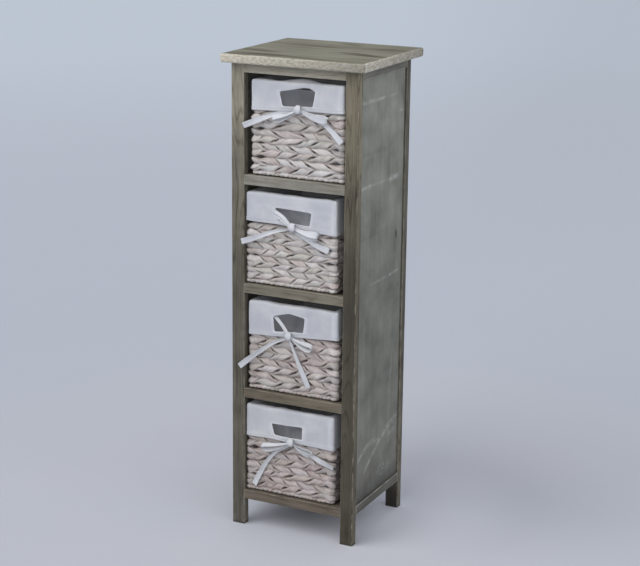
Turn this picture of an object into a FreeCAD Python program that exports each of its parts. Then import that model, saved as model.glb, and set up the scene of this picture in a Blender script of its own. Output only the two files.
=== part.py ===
# Narrow basket storage cabinet. A post-and-rail wooden carcass holds four open compartments,
# and in each compartment a woven basket with a cloth liner pulls out like a drawer.
# Millimetres. X is to the right, Y is towards the back and Z is up. The origin is on the floor,
# under the middle of the top board.
import FreeCAD
import Part
import math
import os

# Overall sizes
height = 840.0
top_width = 266.0
top_depth = 244.0
top_thickness = 15.0
side_overhang = 15.0
front_overhang = 14.0
back_overhang = 20.0
top_corner_radius = 4.0
top_edge_bevel = 1.5

# Posts, which are also the feet
post_width = 24.0
post_depth = 16.0
post_edge_radius = 2.0

# Rails
compartments = 4
foot_clearance = 49.0
rail_height = 17.0
rail_depth = 15.0
rail_setback = 0.5
rail_edge_radius = 1.0
top_rail_height = 16.0
rear_rail_depth = 10.0
side_rail_height = 16.0
side_rail_thickness = 13.0
side_rail_clearance = 53.0

# Panels and shelves
side_panel_thickness = 5.0
side_panel_recess = 4.0
groove_depth = 5.0
back_panel_thickness = 3.0
back_rebate_width = 6.0
shelf_thickness = 5.0
shelf_seat = 6.0
panel_clearance = 0.2

# Dowels, screws and brads
dowel_radius = 3.0
dowel_length = 24.0
side_dowel_bite = 8.0
dowel_clearance = 0.1
dowel_end_clearance = 0.5
screw_radius = 1.75
screw_head_radius = 3.4
screw_head_depth = 3.0
screw_sink = 4.0
screw_bite = 10.0
screw_clearance = 0.15
brad_radius = 0.8
brad_head_radius = 1.6
brad_head_depth = 1.0
brad_bite = 7.0
brad_clearance = 0.05

# Baskets: places
basket_side_gap = 10.5
basket_head_gap = 12.5
basket_front_setback = 5.0
basket_back_gap = 5.0
basket_floor_gap = 0.2
basket_shift_shares = (0.355, -0.78, -0.245, -0.78)

# Baskets: woven walls, base and wire frame
wall_thickness = 8.0
wall_radius = 4.0
weave_rows = 12
row_groove_depth = 1.7
row_shoulder_share = 0.28
base_thickness = 7.0
base_edge_radius = 3.0
wire_radius = 1.5
wire_drop = 8.0
stake_radius = 1.2
stake_share = 0.85
fit_gap = 0.3

# Baskets: liner
cloth_thickness = 1.2
liner_corner_radius = 3.0
cuff_height = 58.0
handle_width = 58.0
handle_height = 27.0
handle_drop = 19.0
handle_corner_radius = 6.0

# Baskets: ribbon bow
ribbon_width = 10.0
ribbon_thickness = 1.0
ribbon_overlap = 8.0
ribbon_post_gap = 1.2
knot_width = 13.0
knot_height = 15.0
knot_edge_radius = 2.0
knot_front = 1.5
loop_tip_radius = 3.5
tail_length = 110.0
loop_length = 54.0
# Each basket's bow, from the top down: how far each loop and tail slopes below level, in degrees,
# and its length as a share of the usual one. A share of zero is a side with no loop.
left_loop_angles = (23, 0, 0, 17)
left_loop_shares = (0.94, 0, 0, 1.06)
right_loop_angles = (14, 10, 14, 15)
right_loop_shares = (1.09, 0.98, 0.93, 0.76)
left_tail_angles = (21, 20, 37, 50)
left_tail_shares = (1.01, 0.94, 1.05, 1.05)
right_tail_angles = (32, 27, 68, 22)
right_tail_shares = (0.9, 0.69, 1.01, 0.79)

# What the cutters run past a face
overrun = 2.0

# Places worked out from the sizes above
post_height = height - top_thickness
carcass_side = top_width / 2 - side_overhang
carcass_front = front_overhang - top_depth / 2
carcass_back = top_depth / 2 - back_overhang
opening_side = carcass_side - post_width
front_post_inner = carcass_front + post_depth
rear_post_inner = carcass_back - post_depth
top_rail_bottom = post_height - top_rail_height
compartment_height = (top_rail_bottom - foot_clearance) / compartments - rail_height
# The top faces of the shelves, from the top shelf down
shelf_levels = [
    foot_clearance + rail_height + n * (compartment_height + rail_height)
    for n in reversed(range(compartments))
]
rail_front = carcass_front + rail_setback
rail_back = rail_front + rail_depth
panel_outer = carcass_side - side_panel_recess
panel_inner = panel_outer - side_panel_thickness
back_panel_front = carcass_back - back_panel_thickness - panel_clearance
rear_rail_back = back_panel_front - panel_clearance
rear_rail_front = rear_rail_back - rear_rail_depth
rear_rail_height = rail_height - shelf_thickness

basket_half_width = opening_side - basket_side_gap
liner_build_up = fit_gap + cloth_thickness
basket_play = basket_side_gap - liner_build_up
basket_height = compartment_height - basket_head_gap - basket_floor_gap
liner_front = carcass_front + basket_front_setback
basket_front = liner_front + liner_build_up
basket_back = back_panel_front - basket_back_gap - liner_build_up
basket_middle = (basket_front + basket_back) / 2
basket_half_depth = (basket_back - basket_front) / 2
# Corner radii grow from the inside of the liner out to the inside of the wall
bag_radius = liner_corner_radius + cloth_thickness
ring_radius = bag_radius + fit_gap + wire_radius
wall_inner_radius = ring_radius + wire_radius + fit_gap
cuff_radius = wall_radius + liner_build_up
# How far each layer of a basket lies inside the woven wall's outer face
ring_inset = wall_thickness + fit_gap + wire_radius
bag_inset = ring_inset + wire_radius + fit_gap
bag_inner_inset = bag_inset + cloth_thickness

across = FreeCAD.Vector(1, 0, 0)
back = FreeCAD.Vector(0, 1, 0)
up = FreeCAD.Vector(0, 0, 1)


def block(x, y, z):
    """A box between two values on each axis, in either order."""
    low = FreeCAD.Vector(min(x), min(y), min(z))
    return Part.makeBox(max(x) - min(x), max(y) - min(y), max(z) - min(z), low)


def edges_along(shape, axis):
    """The straight edges of a shape that run along an axis."""
    found = []
    for edge in shape.Edges:
        run = edge.Vertexes[-1].Point - edge.Vertexes[0].Point
        if run.Length and abs(run.dot(axis)) / run.Length > math.cos(math.radians(1)):
            found.append(edge)
    return found


def rounded_outline(half_x, half_y, radius, z, middle_x=0, middle_y=0):
    """A closed wire in a level plane: a rectangle with round corners."""
    wire = []
    for turn in range(4):
        sign_x = (1, -1, -1, 1)[turn]
        sign_y = (1, 1, -1, -1)[turn]
        centre = FreeCAD.Vector(sign_x * (half_x - radius), sign_y * (half_y - radius), z)
        centre += FreeCAD.Vector(middle_x, middle_y, 0)
        points = []
        for share in (0, 0.5, 1):
            angle = math.radians(90 * (turn + share))
            points.append(centre + FreeCAD.Vector(math.cos(angle), math.sin(angle), 0) * radius)
        if wire:
            wire.append(Part.LineSegment(wire[-1].EndPoint, points[0]))
        wire.append(Part.Arc(*points))
    wire.append(Part.LineSegment(wire[-1].EndPoint, wire[0].StartPoint))
    return Part.Wire([piece.toShape() for piece in wire])


def rounded_prism(half_x, half_y, radius, z, middle_x=0, middle_y=0):
    """A solid with a round-cornered rectangle for its plan, between two heights."""
    outline = rounded_outline(half_x, half_y, radius, z[0], middle_x, middle_y)
    return Part.Face(outline).extrude(up * (z[1] - z[0]))


def fused(shapes):
    """One solid from several that meet."""
    return shapes[0].multiFuse(shapes[1:]).removeSplitter()


def drilled(board, holes):
    """A board with every hole that reaches it cut out."""
    for hole in holes:
        if board.BoundBox.intersect(hole.BoundBox):
            board = board.cut(hole)
    return board


# Dowels at the ends of the rails

def rail_ends(y, z):
    """The two dowels of a rail that runs across between two posts."""
    return [(FreeCAD.Vector(side * opening_side - dowel_length / 2, y, z), across) for side in (-1, 1)]


def side_rail_ends(side, z):
    """The two dowels of a side rail that runs from front to back."""
    x = side * (carcass_side - side_rail_thickness / 2)
    front = front_post_inner - side_dowel_bite
    rear = rear_post_inner + side_dowel_bite - dowel_length
    return [(FreeCAD.Vector(x, y, z), back) for y in (front, rear)]


def dowel_places():
    """Where each dowel starts, and which way it runs."""
    front_middle = rail_front + rail_depth / 2
    rear_middle = rear_rail_front + rear_rail_depth / 2
    top_middle = top_rail_bottom + top_rail_height / 2
    places = rail_ends(front_middle, top_middle) + rail_ends(rear_middle, top_middle)
    for level in shelf_levels:
        z = level - rail_height + rear_rail_height / 2
        places += rail_ends(front_middle, z) + rail_ends(rear_middle, z)
    sound_wood = (side_rail_height - groove_depth) / 2
    for side in (-1, 1):
        places += side_rail_ends(side, side_rail_clearance + sound_wood)
        places += side_rail_ends(side, post_height - sound_wood)
    return places


def dowels():
    return [Part.makeCylinder(dowel_radius, dowel_length, *place) for place in dowel_places()]


def dowel_holes():
    radius = dowel_radius + dowel_clearance
    length = dowel_length + 2 * dowel_end_clearance
    return [
        Part.makeCylinder(radius, length, start - axis * dowel_end_clearance, axis)
        for start, axis in dowel_places()
    ]


# Screws that hold the top board, driven up through the top rails

def screw_places():
    """The undersides of the screw heads' seats."""
    z = top_rail_bottom + screw_sink
    rows = (rail_front + rail_depth / 2, rear_rail_front + rear_rail_depth / 2)
    return [FreeCAD.Vector(side * opening_side / 2, y, z) for side in (-1, 1) for y in rows]


def screw_length():
    return top_rail_height - screw_sink + screw_bite


def top_screws():
    screws = []
    for seat in screw_places():
        shank = Part.makeCylinder(screw_radius, screw_length(), seat, up)
        head = Part.makeCone(screw_head_radius, screw_radius, screw_head_depth, seat, up)
        screws.append(fused([shank, head]))
    return screws


def screw_holes():
    holes = []
    for seat in screw_places():
        sink_radius = screw_head_radius + screw_clearance
        shank_radius = screw_radius + screw_clearance
        shank = Part.makeCylinder(shank_radius, screw_length() + dowel_end_clearance, seat, up)
        cone = Part.makeCone(sink_radius, shank_radius, screw_head_depth, seat, up)
        sink = Part.makeCylinder(sink_radius, screw_sink + overrun, seat, up * -1)
        holes.append(fused([shank, cone, sink]))
    return holes


# Brads that hold the shelves down and the back panel on

def brad_places():
    """Where each brad's head lies, which way it is driven, and the thickness that it holds."""
    places = {"shelf": [], "back": []}
    front_seat = rail_back - shelf_seat / 2
    rear_seat = rear_rail_front + rear_rail_depth / 2
    for level in shelf_levels:
        for side in (-1, 1):
            for y in (front_seat, rear_seat):
                spot = FreeCAD.Vector(side * opening_side / 2, y, level)
                places["shelf"].append((spot, up * -1, shelf_thickness))
    for level in shelf_levels:
        for side in (-1, 1):
            x = side * (opening_side + back_rebate_width / 2)
            spot = FreeCAD.Vector(x, carcass_back - panel_clearance, level + compartment_height / 2)
            places["back"].append((spot, back * -1, back_panel_thickness))
    return places


def brad(spot, axis, holds, clearance=0):
    shank = Part.makeCylinder(brad_radius + clearance, holds + brad_bite + clearance, spot, axis)
    head = Part.makeCylinder(brad_head_radius + clearance, brad_head_depth + clearance, spot, axis)
    return fused([shank, head])


def brads(kind):
    return [brad(*place) for place in brad_places()[kind]]


def brad_holes():
    places = brad_places()
    return [brad(*place, brad_clearance) for place in places["shelf"] + places["back"]]


# Carcass

def post(side, rear):
    """A corner post with its panel groove, and at the back a rebate for the back panel."""
    x = (side * opening_side, side * carcass_side)
    y = (rear_post_inner, carcass_back) if rear else (carcass_front, front_post_inner)
    body = block(x, y, (0, post_height))
    body = body.makeFillet(post_edge_radius, edges_along(body, up))
    inner = rear_post_inner if rear else front_post_inner
    deep = groove_depth if rear else -groove_depth
    groove = block(
        (side * (panel_inner - panel_clearance), side * (panel_outer + panel_clearance)),
        (inner - (overrun if rear else -overrun), inner + deep),
        (side_rail_clearance + side_rail_height - groove_depth, top_rail_bottom + groove_depth),
    )
    body = body.cut(groove)
    if rear:
        rebate = block(
            (side * (opening_side - overrun), side * (opening_side + back_rebate_width)),
            (back_panel_front, carcass_back + overrun),
            (foot_clearance, post_height + overrun),
        )
        body = body.cut(rebate)
    return body


def front_rail(z, seat):
    """A front rail. One that carries a shelf has a seat cut in its back top edge."""
    body = block((-opening_side, opening_side), (rail_front, rail_back), z)
    front_edges = [e for e in edges_along(body, across) if abs(e.CenterOfMass.y - rail_front) < rail_edge_radius]
    body = body.makeFillet(rail_edge_radius, front_edges)
    if seat:
        shelf_space = block(
            (-opening_side - overrun, opening_side + overrun),
            (rail_back - shelf_seat, rail_back + overrun),
            (z[1] - shelf_thickness, z[1] + overrun),
        )
        body = body.cut(shelf_space)
    return body


def rear_rail(z):
    return block((-opening_side, opening_side), (rear_rail_front, rear_rail_back), z)


def side_rail(side, z, groove_up):
    """A side rail, flush with the posts, grooved on one edge for the side panel."""
    x = (side * (carcass_side - side_rail_thickness), side * carcass_side)
    body = block(x, (front_post_inner, rear_post_inner), z)
    outer_edges = [e for e in edges_along(body, back) if abs(e.CenterOfMass.x) > panel_outer]
    body = body.makeFillet(rail_edge_radius, outer_edges)
    groove_z = (z[1] - groove_depth, z[1] + overrun) if groove_up else (z[0] - overrun, z[0] + groove_depth)
    groove = block(
        (side * (panel_inner - panel_clearance), side * (panel_outer + panel_clearance)),
        (front_post_inner - overrun, rear_post_inner + overrun),
        groove_z,
    )
    return body.cut(groove)


def side_panel(side):
    held = groove_depth - panel_clearance
    return block(
        (side * panel_inner, side * panel_outer),
        (front_post_inner - held, rear_post_inner + held),
        (side_rail_clearance + side_rail_height - held, top_rail_bottom + held),
    )


def back_panel():
    side = opening_side + back_rebate_width - panel_clearance
    return block(
        (-side, side),
        (back_panel_front, back_panel_front + back_panel_thickness),
        (foot_clearance + panel_clearance, post_height - panel_clearance),
    )


def shelf(level):
    """A shelf, notched at its corners round the posts, on the seats of its front and rear rails."""
    z = (level - shelf_thickness, level)
    wide = carcass_side - side_rail_thickness - panel_clearance
    narrow = opening_side - panel_clearance
    body = block((-wide, wide), (front_post_inner + panel_clearance, rear_post_inner - panel_clearance), z)
    tongue_y = (rail_back - shelf_seat + panel_clearance, rear_rail_back)
    return fused([body, block((-narrow, narrow), tongue_y, z)])


def top_board():
    body = rounded_prism(top_width / 2, top_depth / 2, top_corner_radius, (post_height, height))
    rim = [e for e in body.Edges if abs(e.Vertexes[0].Z - e.Vertexes[-1].Z) < top_edge_bevel]
    return body.makeChamfer(top_edge_bevel, rim)


# Baskets

class Basket:
    """One basket's place, and its layers from the weave inwards."""

    def __init__(self, number):
        self.x = basket_shift_shares[number] * basket_play
        self.floor = shelf_levels[number] + basket_floor_gap
        self.base_top = self.floor + base_thickness
        self.rim = self.floor + basket_height - liner_build_up
        self.hem = self.rim + liner_build_up - cuff_height
        self.handle_top = self.rim - handle_drop
        self.handle_bottom = self.handle_top - handle_height
        self.knot_z = (self.hem + self.handle_bottom) / 2

    def prism(self, inset, radius, z):
        half_x = basket_half_width - inset
        half_y = basket_half_depth - inset
        return rounded_prism(half_x, half_y, radius, z, self.x, basket_middle)

    def outline(self, inset, radius, z):
        half_x = basket_half_width - inset
        half_y = basket_half_depth - inset
        return rounded_outline(half_x, half_y, radius, z, self.x, basket_middle)

    def handle_cutter(self, y):
        """A round-cornered block across the handle opening, between two depths."""
        middle = (self.handle_bottom + self.handle_top) / 2
        upright = rounded_prism(handle_width / 2, handle_height / 2, handle_corner_radius, (0, y[1] - y[0]))
        upright.rotate(FreeCAD.Vector(), across, -90)
        upright.translate(FreeCAD.Vector(self.x, y[0], middle))
        return upright


def basket_wall(basket):
    """The woven wall: one swelling course over another, with the handle opening at the front."""
    course = (basket.rim - basket.base_top) / weave_rows
    sections = []
    for row in range(weave_rows):
        start = basket.base_top + row * course
        sections.append(basket.outline(row_groove_depth, wall_radius - row_groove_depth, start))
        for share in (row_shoulder_share, 1 - row_shoulder_share):
            sections.append(basket.outline(0, wall_radius, start + share * course))
    sections.append(basket.outline(row_groove_depth, wall_radius - row_groove_depth, basket.rim))
    body = Part.makeLoft(sections, True, True)
    hollow = (basket.base_top - overrun, basket.rim + overrun)
    body = body.cut(basket.prism(wall_thickness, wall_inner_radius, hollow))
    through = (basket_front - overrun, basket_front + wall_thickness + overrun)
    return body.cut(basket.handle_cutter(through))


def basket_base(basket):
    """The woven base with its bound edge, which the wall stands on."""
    body = basket.prism(0, wall_radius, (basket.floor, basket.base_top))
    rim = [e for e in body.Edges if abs(e.Vertexes[0].Z - e.Vertexes[-1].Z) < base_edge_radius]
    return body.makeFillet(base_edge_radius, rim)


def wire_ring(half_x, half_y):
    """A wire bent into a round-cornered rectangle, about the origin."""
    run_x = half_x - ring_radius
    run_y = half_y - ring_radius
    pieces = []
    for turn in range(4):
        corner = FreeCAD.Vector((run_x, -run_x, -run_x, run_x)[turn], (run_y, run_y, -run_y, -run_y)[turn], 0)
        run = 2 * (run_y if turn % 2 else run_x)
        bend = Part.makeTorus(ring_radius, wire_radius, FreeCAD.Vector(), up, 0, 360, 90)
        straight = Part.makeCylinder(wire_radius, run, back * ring_radius, across * -1)
        for piece in (bend, straight):
            piece.rotate(FreeCAD.Vector(), up, 90 * turn)
            piece.translate(corner)
            pieces.append(piece)
    return fused(pieces)


def basket_wire_frame(basket):
    """Two wire rings, bent at the corners, and four stakes welded between them, inside the woven wall."""
    low = basket.base_top + fit_gap + wire_radius
    high = basket.rim - wire_drop
    half_x = basket_half_width - ring_inset
    half_y = basket_half_depth - ring_inset
    frame = wire_ring(half_x, half_y)
    upper = frame.copy()
    upper.translate(up * (high - low))
    stakes = []
    for sign_x in (-1, 1):
        for sign_y in (-1, 1):
            foot = FreeCAD.Vector(sign_x * stake_share * (half_x - ring_radius), sign_y * half_y, 0)
            stakes.append(Part.makeCylinder(stake_radius, high - low, foot, up))
    frame = fused([frame, upper] + stakes)
    frame.translate(FreeCAD.Vector(basket.x, basket_middle, low))
    return frame


def basket_liner(basket):
    """The cloth bag, its fold over the rim and the cuff that hangs outside, cut out at the handle opening."""
    top = basket.rim + liner_build_up
    seam = basket.rim + fit_gap
    bag_floor = basket.base_top + fit_gap
    cuff = basket.prism(-liner_build_up, cuff_radius, (basket.hem, top))
    cuff = cuff.cut(basket.prism(-fit_gap, wall_radius + fit_gap, (basket.hem - overrun, seam)))
    bag = basket.prism(bag_inset, bag_radius, (bag_floor, top))
    hollow = basket.prism(bag_inner_inset, liner_corner_radius, (bag_floor + cloth_thickness, top + overrun))
    body = fused([cuff, bag]).cut(hollow)
    return body.cut(basket.handle_cutter((liner_front - overrun, basket_front)))


def ribbon_frame(basket, side, slope):
    """The direction along a ribbon, and the one across its width, in the upright plane of the bow."""
    angle = math.radians(slope)
    along = FreeCAD.Vector(side * math.cos(angle), 0, -math.sin(angle))
    return along, along.cross(back)


def ribbon_tail(basket, side, slope, length, y):
    """A flat tail that hangs from the knot."""
    along, width = ribbon_frame(basket, side, slope)
    knot = FreeCAD.Vector(basket.x, y, basket.knot_z)
    edge = width * (ribbon_width / 2)
    corners = [knot + edge, knot - edge, knot - edge + along * length, knot + edge + along * length]
    face = Part.Face(Part.makePolygon(corners + corners[:1]))
    return face.extrude(back * ribbon_thickness)


def teardrop(start, along, length, radius):
    """A loop seen from its edge: two straight strands that meet at the knot, and a round tip."""
    centre = start + along * (length - radius)
    lean = math.asin(radius / (length - radius))
    points = []
    for angle in (math.pi / 2 + lean, 0, -math.pi / 2 - lean):
        points.append(centre + along * (radius * math.cos(angle)) + back * (radius * math.sin(angle)))
    strands = [Part.LineSegment(start, points[0]), Part.Arc(*points), Part.LineSegment(points[2], start)]
    return Part.Face(Part.Wire([strand.toShape() for strand in strands]))


def ribbon_loop(basket, side, slope, length, y):
    """A ribbon folded back on itself into the knot."""
    along, width = ribbon_frame(basket, side, slope)
    start = FreeCAD.Vector(basket.x, y, basket.knot_z) - width * (ribbon_width / 2)
    outer = teardrop(start, along, length, loop_tip_radius)
    taper = loop_tip_radius / (length - loop_tip_radius)
    inner_start = ribbon_thickness / taper
    inner_radius = loop_tip_radius - ribbon_thickness
    inner_length = length - inner_start - ribbon_thickness
    inner = teardrop(start + along * inner_start, along, inner_length, inner_radius)
    return outer.cut(inner).extrude(width * ribbon_width)


def basket_bow(basket, number):
    """The ribbon along the hem under the handle opening, tied in a bow at its middle."""
    strap_y = liner_front - fit_gap - ribbon_thickness
    tail_y = carcass_front - ribbon_post_gap - ribbon_thickness
    loop_y = (strap_y + tail_y) / 2 + ribbon_thickness / 2
    strap_half = handle_width / 2 + ribbon_overlap
    pieces = [
        block(
            (basket.x - knot_width / 2, basket.x + knot_width / 2),
            (tail_y - knot_front, strap_y + ribbon_thickness),
            (basket.knot_z - knot_height / 2, basket.knot_z + knot_height / 2),
        )
    ]
    pieces[0] = pieces[0].makeFillet(knot_edge_radius, pieces[0].Edges)
    pieces.append(
        block(
            (basket.x - strap_half, basket.x + strap_half),
            (strap_y, strap_y + ribbon_thickness),
            (basket.knot_z - ribbon_width / 2, basket.knot_z + ribbon_width / 2),
        )
    )
    for side, angles, shares in (
        (-1, left_tail_angles, left_tail_shares),
        (1, right_tail_angles, right_tail_shares),
    ):
        pieces.append(ribbon_tail(basket, side, angles[number], shares[number] * tail_length, tail_y))
    for side, angles, shares in (
        (-1, left_loop_angles, left_loop_shares),
        (1, right_loop_angles, right_loop_shares),
    ):
        if shares[number]:
            pieces.append(ribbon_loop(basket, side, angles[number], shares[number] * loop_length, loop_y))
    return fused(pieces)


# Assembly

def cabinet():
    """Every piece by name. A group of identical fasteners is one compound."""
    holes = dowel_holes() + screw_holes() + brad_holes()
    boards = {}
    for side, side_name in ((-1, "left"), (1, "right")):
        boards[f"front_{side_name}_post"] = post(side, False)
        boards[f"rear_{side_name}_post"] = post(side, True)
        low = (side_rail_clearance, side_rail_clearance + side_rail_height)
        boards[f"{side_name}_bottom_side_rail"] = side_rail(side, low, True)
        boards[f"{side_name}_top_side_rail"] = side_rail(side, (top_rail_bottom, post_height), False)
        boards[f"{side_name}_side_panel"] = side_panel(side)
    boards["top_front_rail"] = front_rail((top_rail_bottom, post_height), False)
    boards["top_rear_rail"] = rear_rail((top_rail_bottom, post_height))
    for number, level in enumerate(shelf_levels, 1):
        bottom = level - rail_height
        boards[f"shelf_{number}_front_rail"] = front_rail((bottom, level), True)
        boards[f"shelf_{number}_rear_rail"] = rear_rail((bottom, bottom + rear_rail_height))
        boards[f"shelf_{number}"] = shelf(level)
    boards["back_panel"] = back_panel()
    boards["top_board"] = top_board()
    pieces = {name: drilled(board, holes) for name, board in boards.items()}
    pieces["rail_dowels"] = Part.makeCompound(dowels())
    pieces["top_screws"] = Part.makeCompound(top_screws())
    pieces["shelf_brads"] = Part.makeCompound(brads("shelf"))
    pieces["back_panel_brads"] = Part.makeCompound(brads("back"))
    for number in range(compartments):
        basket = Basket(number)
        name = f"basket_{number + 1}"
        pieces[f"{name}_wall"] = basket_wall(basket)
        pieces[f"{name}_base"] = basket_base(basket)
        pieces[f"{name}_wire_frame"] = basket_wire_frame(basket)
        pieces[f"{name}_liner"] = basket_liner(basket)
        pieces[f"{name}_bow"] = basket_bow(basket, number)
    return pieces


os.makedirs("parts", exist_ok=True)
for name, shape in cabinet().items():
    if not shape.isValid() or not shape.Solids:
        print("not a valid solid:", name)
    shape.exportStep(f"parts/{name}.step")
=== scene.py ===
import bpy
import bmesh
import math
import random
from mathutils import Matrix, Vector, noise


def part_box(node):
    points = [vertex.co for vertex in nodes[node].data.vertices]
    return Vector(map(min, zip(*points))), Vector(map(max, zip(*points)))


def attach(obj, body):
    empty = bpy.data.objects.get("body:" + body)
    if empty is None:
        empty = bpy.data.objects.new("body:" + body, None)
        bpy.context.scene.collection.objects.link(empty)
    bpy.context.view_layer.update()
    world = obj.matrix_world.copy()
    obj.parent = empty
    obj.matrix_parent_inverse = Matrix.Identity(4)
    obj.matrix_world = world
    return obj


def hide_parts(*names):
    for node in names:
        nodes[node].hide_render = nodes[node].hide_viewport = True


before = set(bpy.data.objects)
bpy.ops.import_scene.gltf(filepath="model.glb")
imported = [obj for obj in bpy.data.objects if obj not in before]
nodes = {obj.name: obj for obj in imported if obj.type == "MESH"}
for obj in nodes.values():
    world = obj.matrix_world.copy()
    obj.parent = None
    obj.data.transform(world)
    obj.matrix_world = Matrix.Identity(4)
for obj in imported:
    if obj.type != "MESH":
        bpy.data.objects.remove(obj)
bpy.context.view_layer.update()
print("frame loaded:", len(nodes), "nodes")


class Wire:
    # one output socket: sums on it add Math nodes
    def __init__(self, tree, socket):
        self.tree = tree
        self.socket = socket

    def calc(self, operation, *values):
        return self.tree.add("ShaderNodeMath", {"operation": operation}, dict(enumerate(values)))

    def alone(self, operation):
        return self.calc(operation, self)

    def __abs__(self):
        return self.alone("ABSOLUTE")

    def least(self, other):
        return self.calc("MINIMUM", self, other)

    def most(self, other):
        return self.calc("MAXIMUM", self, other)

    def rise(self, low, high):
        # 0 below low, 1 above high, smooth between
        return self.tree.add(
            "ShaderNodeMapRange",
            {"interpolation_type": "SMOOTHSTEP"},
            {"Value": self, "From Min": low, "From Max": high},
        )


def sumOf(operation, swapped):
    return lambda self, other: self.calc(operation, *((other, self) if swapped else (self, other)))


for sign, operation in (("add", "ADD"), ("sub", "SUBTRACT"), ("mul", "MULTIPLY"), ("truediv", "DIVIDE"),
                        ("mod", "FLOORED_MODULO")):
    setattr(Wire, f"__{sign}__", sumOf(operation, False))
    setattr(Wire, f"__r{sign}__", sumOf(operation, True))


class Tree:
    # a node tree of either kind
    def __init__(self, nodeTree):
        self.nodeTree = nodeTree

    def find(self, sockets, key):
        if isinstance(key, int):
            return sockets[key]
        for socket in sockets:
            if socket.identifier == key:
                return socket
        return sockets[key]

    def add(self, kind, settings=None, values=None, out=0):
        node = self.nodeTree.nodes.new(kind)
        for key, value in (settings or {}).items():
            if key == "stops":
                elements = node.color_ramp.elements
                for place, color in value[2:]:
                    elements.new(place)
                for element, (place, color) in zip(elements, sorted(value)):
                    element.position = place
                    element.color = color
            else:
                setattr(node, key, value)
        for key, value in (values or {}).items():
            socket = self.find(node.inputs, key)
            if isinstance(value, Wire):
                self.nodeTree.links.new(value.socket, socket)
            else:
                socket.default_value = value
        return Wire(self, self.find(node.outputs, out))

    def join(self, x, y, z):
        return self.add("ShaderNodeCombineXYZ", None, {0: x, 1: y, 2: z})

    def split(self, vector):
        node = self.add("ShaderNodeSeparateXYZ", None, {0: vector}).socket.node
        return [Wire(self, node.outputs[n]) for n in range(3)]

    def vector(self, operation, a, b=None):
        values = {0: a}
        if b is not None:
            values["Scale" if operation == "SCALE" else 1] = b
        return self.add("ShaderNodeVectorMath", {"operation": operation}, values)

    def length(self, a):
        node = self.add("ShaderNodeVectorMath", {"operation": "LENGTH"}, {0: a}).socket.node
        return Wire(self, node.outputs["Value"])

    def mix(self, factor, a, b, blend="MIX"):
        return self.add(
            "ShaderNodeMix",
            {"data_type": "RGBA", "blend_type": blend},
            {"Factor_Float": factor, "A_Color": a, "B_Color": b},
            out="Result_Color",
        )

    def noise(self, place, seed, detail, out=0):
        return self.add(
            "ShaderNodeTexNoise",
            {"noise_dimensions": "4D"},
            {"Vector": place, "W": seed, "Scale": 1.0, "Detail": detail, "Roughness": 0.55},
            out=out,
        )

    def cloud(self, place, scale, seed, detail, out=0):
        # noise of one scale every way
        return self.noise(self.vector("SCALE", place, scale), seed, detail, out=out)

    def times(self, color, gain):
        return self.mix(1.0, color, gain, "MULTIPLY")

    def place(self):
        return self.add("ShaderNodeTexCoord", out="Object")

    def attribute(self, name):
        return self.add("ShaderNodeAttribute", {"attribute_name": name}, out="Fac")

    def bump(self, height, strength, distance):
        return self.add("ShaderNodeBump", None, {"Height": height, "Strength": strength, "Distance": distance})


def tint(*screen):
    # screen values up to 255 to the linear ones that sockets take
    shares = [v / 255 for v in screen]
    return (*[v / 12.92 if v <= 0.04045 else ((v + 0.055) / 1.055) ** 2.4 for v in shares], 1.0)


def newMaterial(name):
    material = bpy.data.materials.new(name)
    material.use_nodes = True
    material.node_tree.nodes.clear()
    return material, Tree(material.node_tree)


def closeMaterial(tree, values):
    shader = tree.add("ShaderNodeBsdfPrincipled", None, values)
    output = tree.nodeTree.nodes.new("ShaderNodeOutputMaterial")
    tree.nodeTree.links.new(shader.socket, output.inputs["Surface"])


def clamp(share):
    return max(0.0, min(1.0, share))


def addObject(name, data):
    thing = bpy.data.objects.new(name, data)
    bpy.context.scene.collection.objects.link(thing)
    return thing


def newPiece(name, mesh, material, body, standsFor=()):
    piece = addObject(name, mesh)
    if not mesh.materials:
        mesh.materials.append(material)
    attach(piece, body)
    if standsFor:
        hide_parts(*standsFor)
    return piece


def makeCloth(piece, thickness, offset):
    smooth = piece.modifiers.new("smooth", "SUBSURF")
    smooth.levels = smooth.render_levels = 1
    thick = piece.modifiers.new("thick", "SOLIDIFY")
    thick.thickness = thickness
    thick.offset = offset


def meshFrom(name, points, faces):
    mesh = bpy.data.meshes.new(name)
    mesh.from_pydata([tuple(p) for p in points], [], faces)
    mesh.polygons.foreach_set("use_smooth", [True] * len(mesh.polygons))
    mesh.update()
    return mesh


def openGroup(name, sockets, made):
    # a Geometry Nodes tree with inputs listed by kind and one result
    group = bpy.data.node_groups.new(name, "GeometryNodeTree")
    for kind, names in sockets.items():
        for socket in names:
            group.interface.new_socket(socket, in_out="INPUT", socket_type="NodeSocket" + kind)
    group.interface.new_socket(made, in_out="OUTPUT", socket_type="NodeSocketGeometry")
    t = Tree(group)
    source = group.nodes.new("NodeGroupInput")
    return t, {socket.name: Wire(t, socket) for socket in source.outputs if socket.name}


def closeGroup(t, mesh, finish):
    mesh = t.add("GeometryNodeRealizeInstances", None, {"Geometry": mesh})
    mesh = t.add("GeometryNodeSetShadeSmooth", None, {"Geometry": mesh})
    mesh = t.add("GeometryNodeSetMaterial", None, {"Geometry": mesh, "Material": finish})
    sink = t.nodeTree.nodes.new("NodeGroupOutput")
    t.nodeTree.links.new(mesh.socket, sink.inputs[0])
    return t.nodeTree


# camera, where the photograph was taken from
cameraSet = {
    "place": (1.2627, -2.5695, 1.2188), "yaw": 0.45734, "pitch": 0.26803, "roll": 0.01081,
    "lens": 95.375, "sensor": 36.0, "sight": 200,
}


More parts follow.
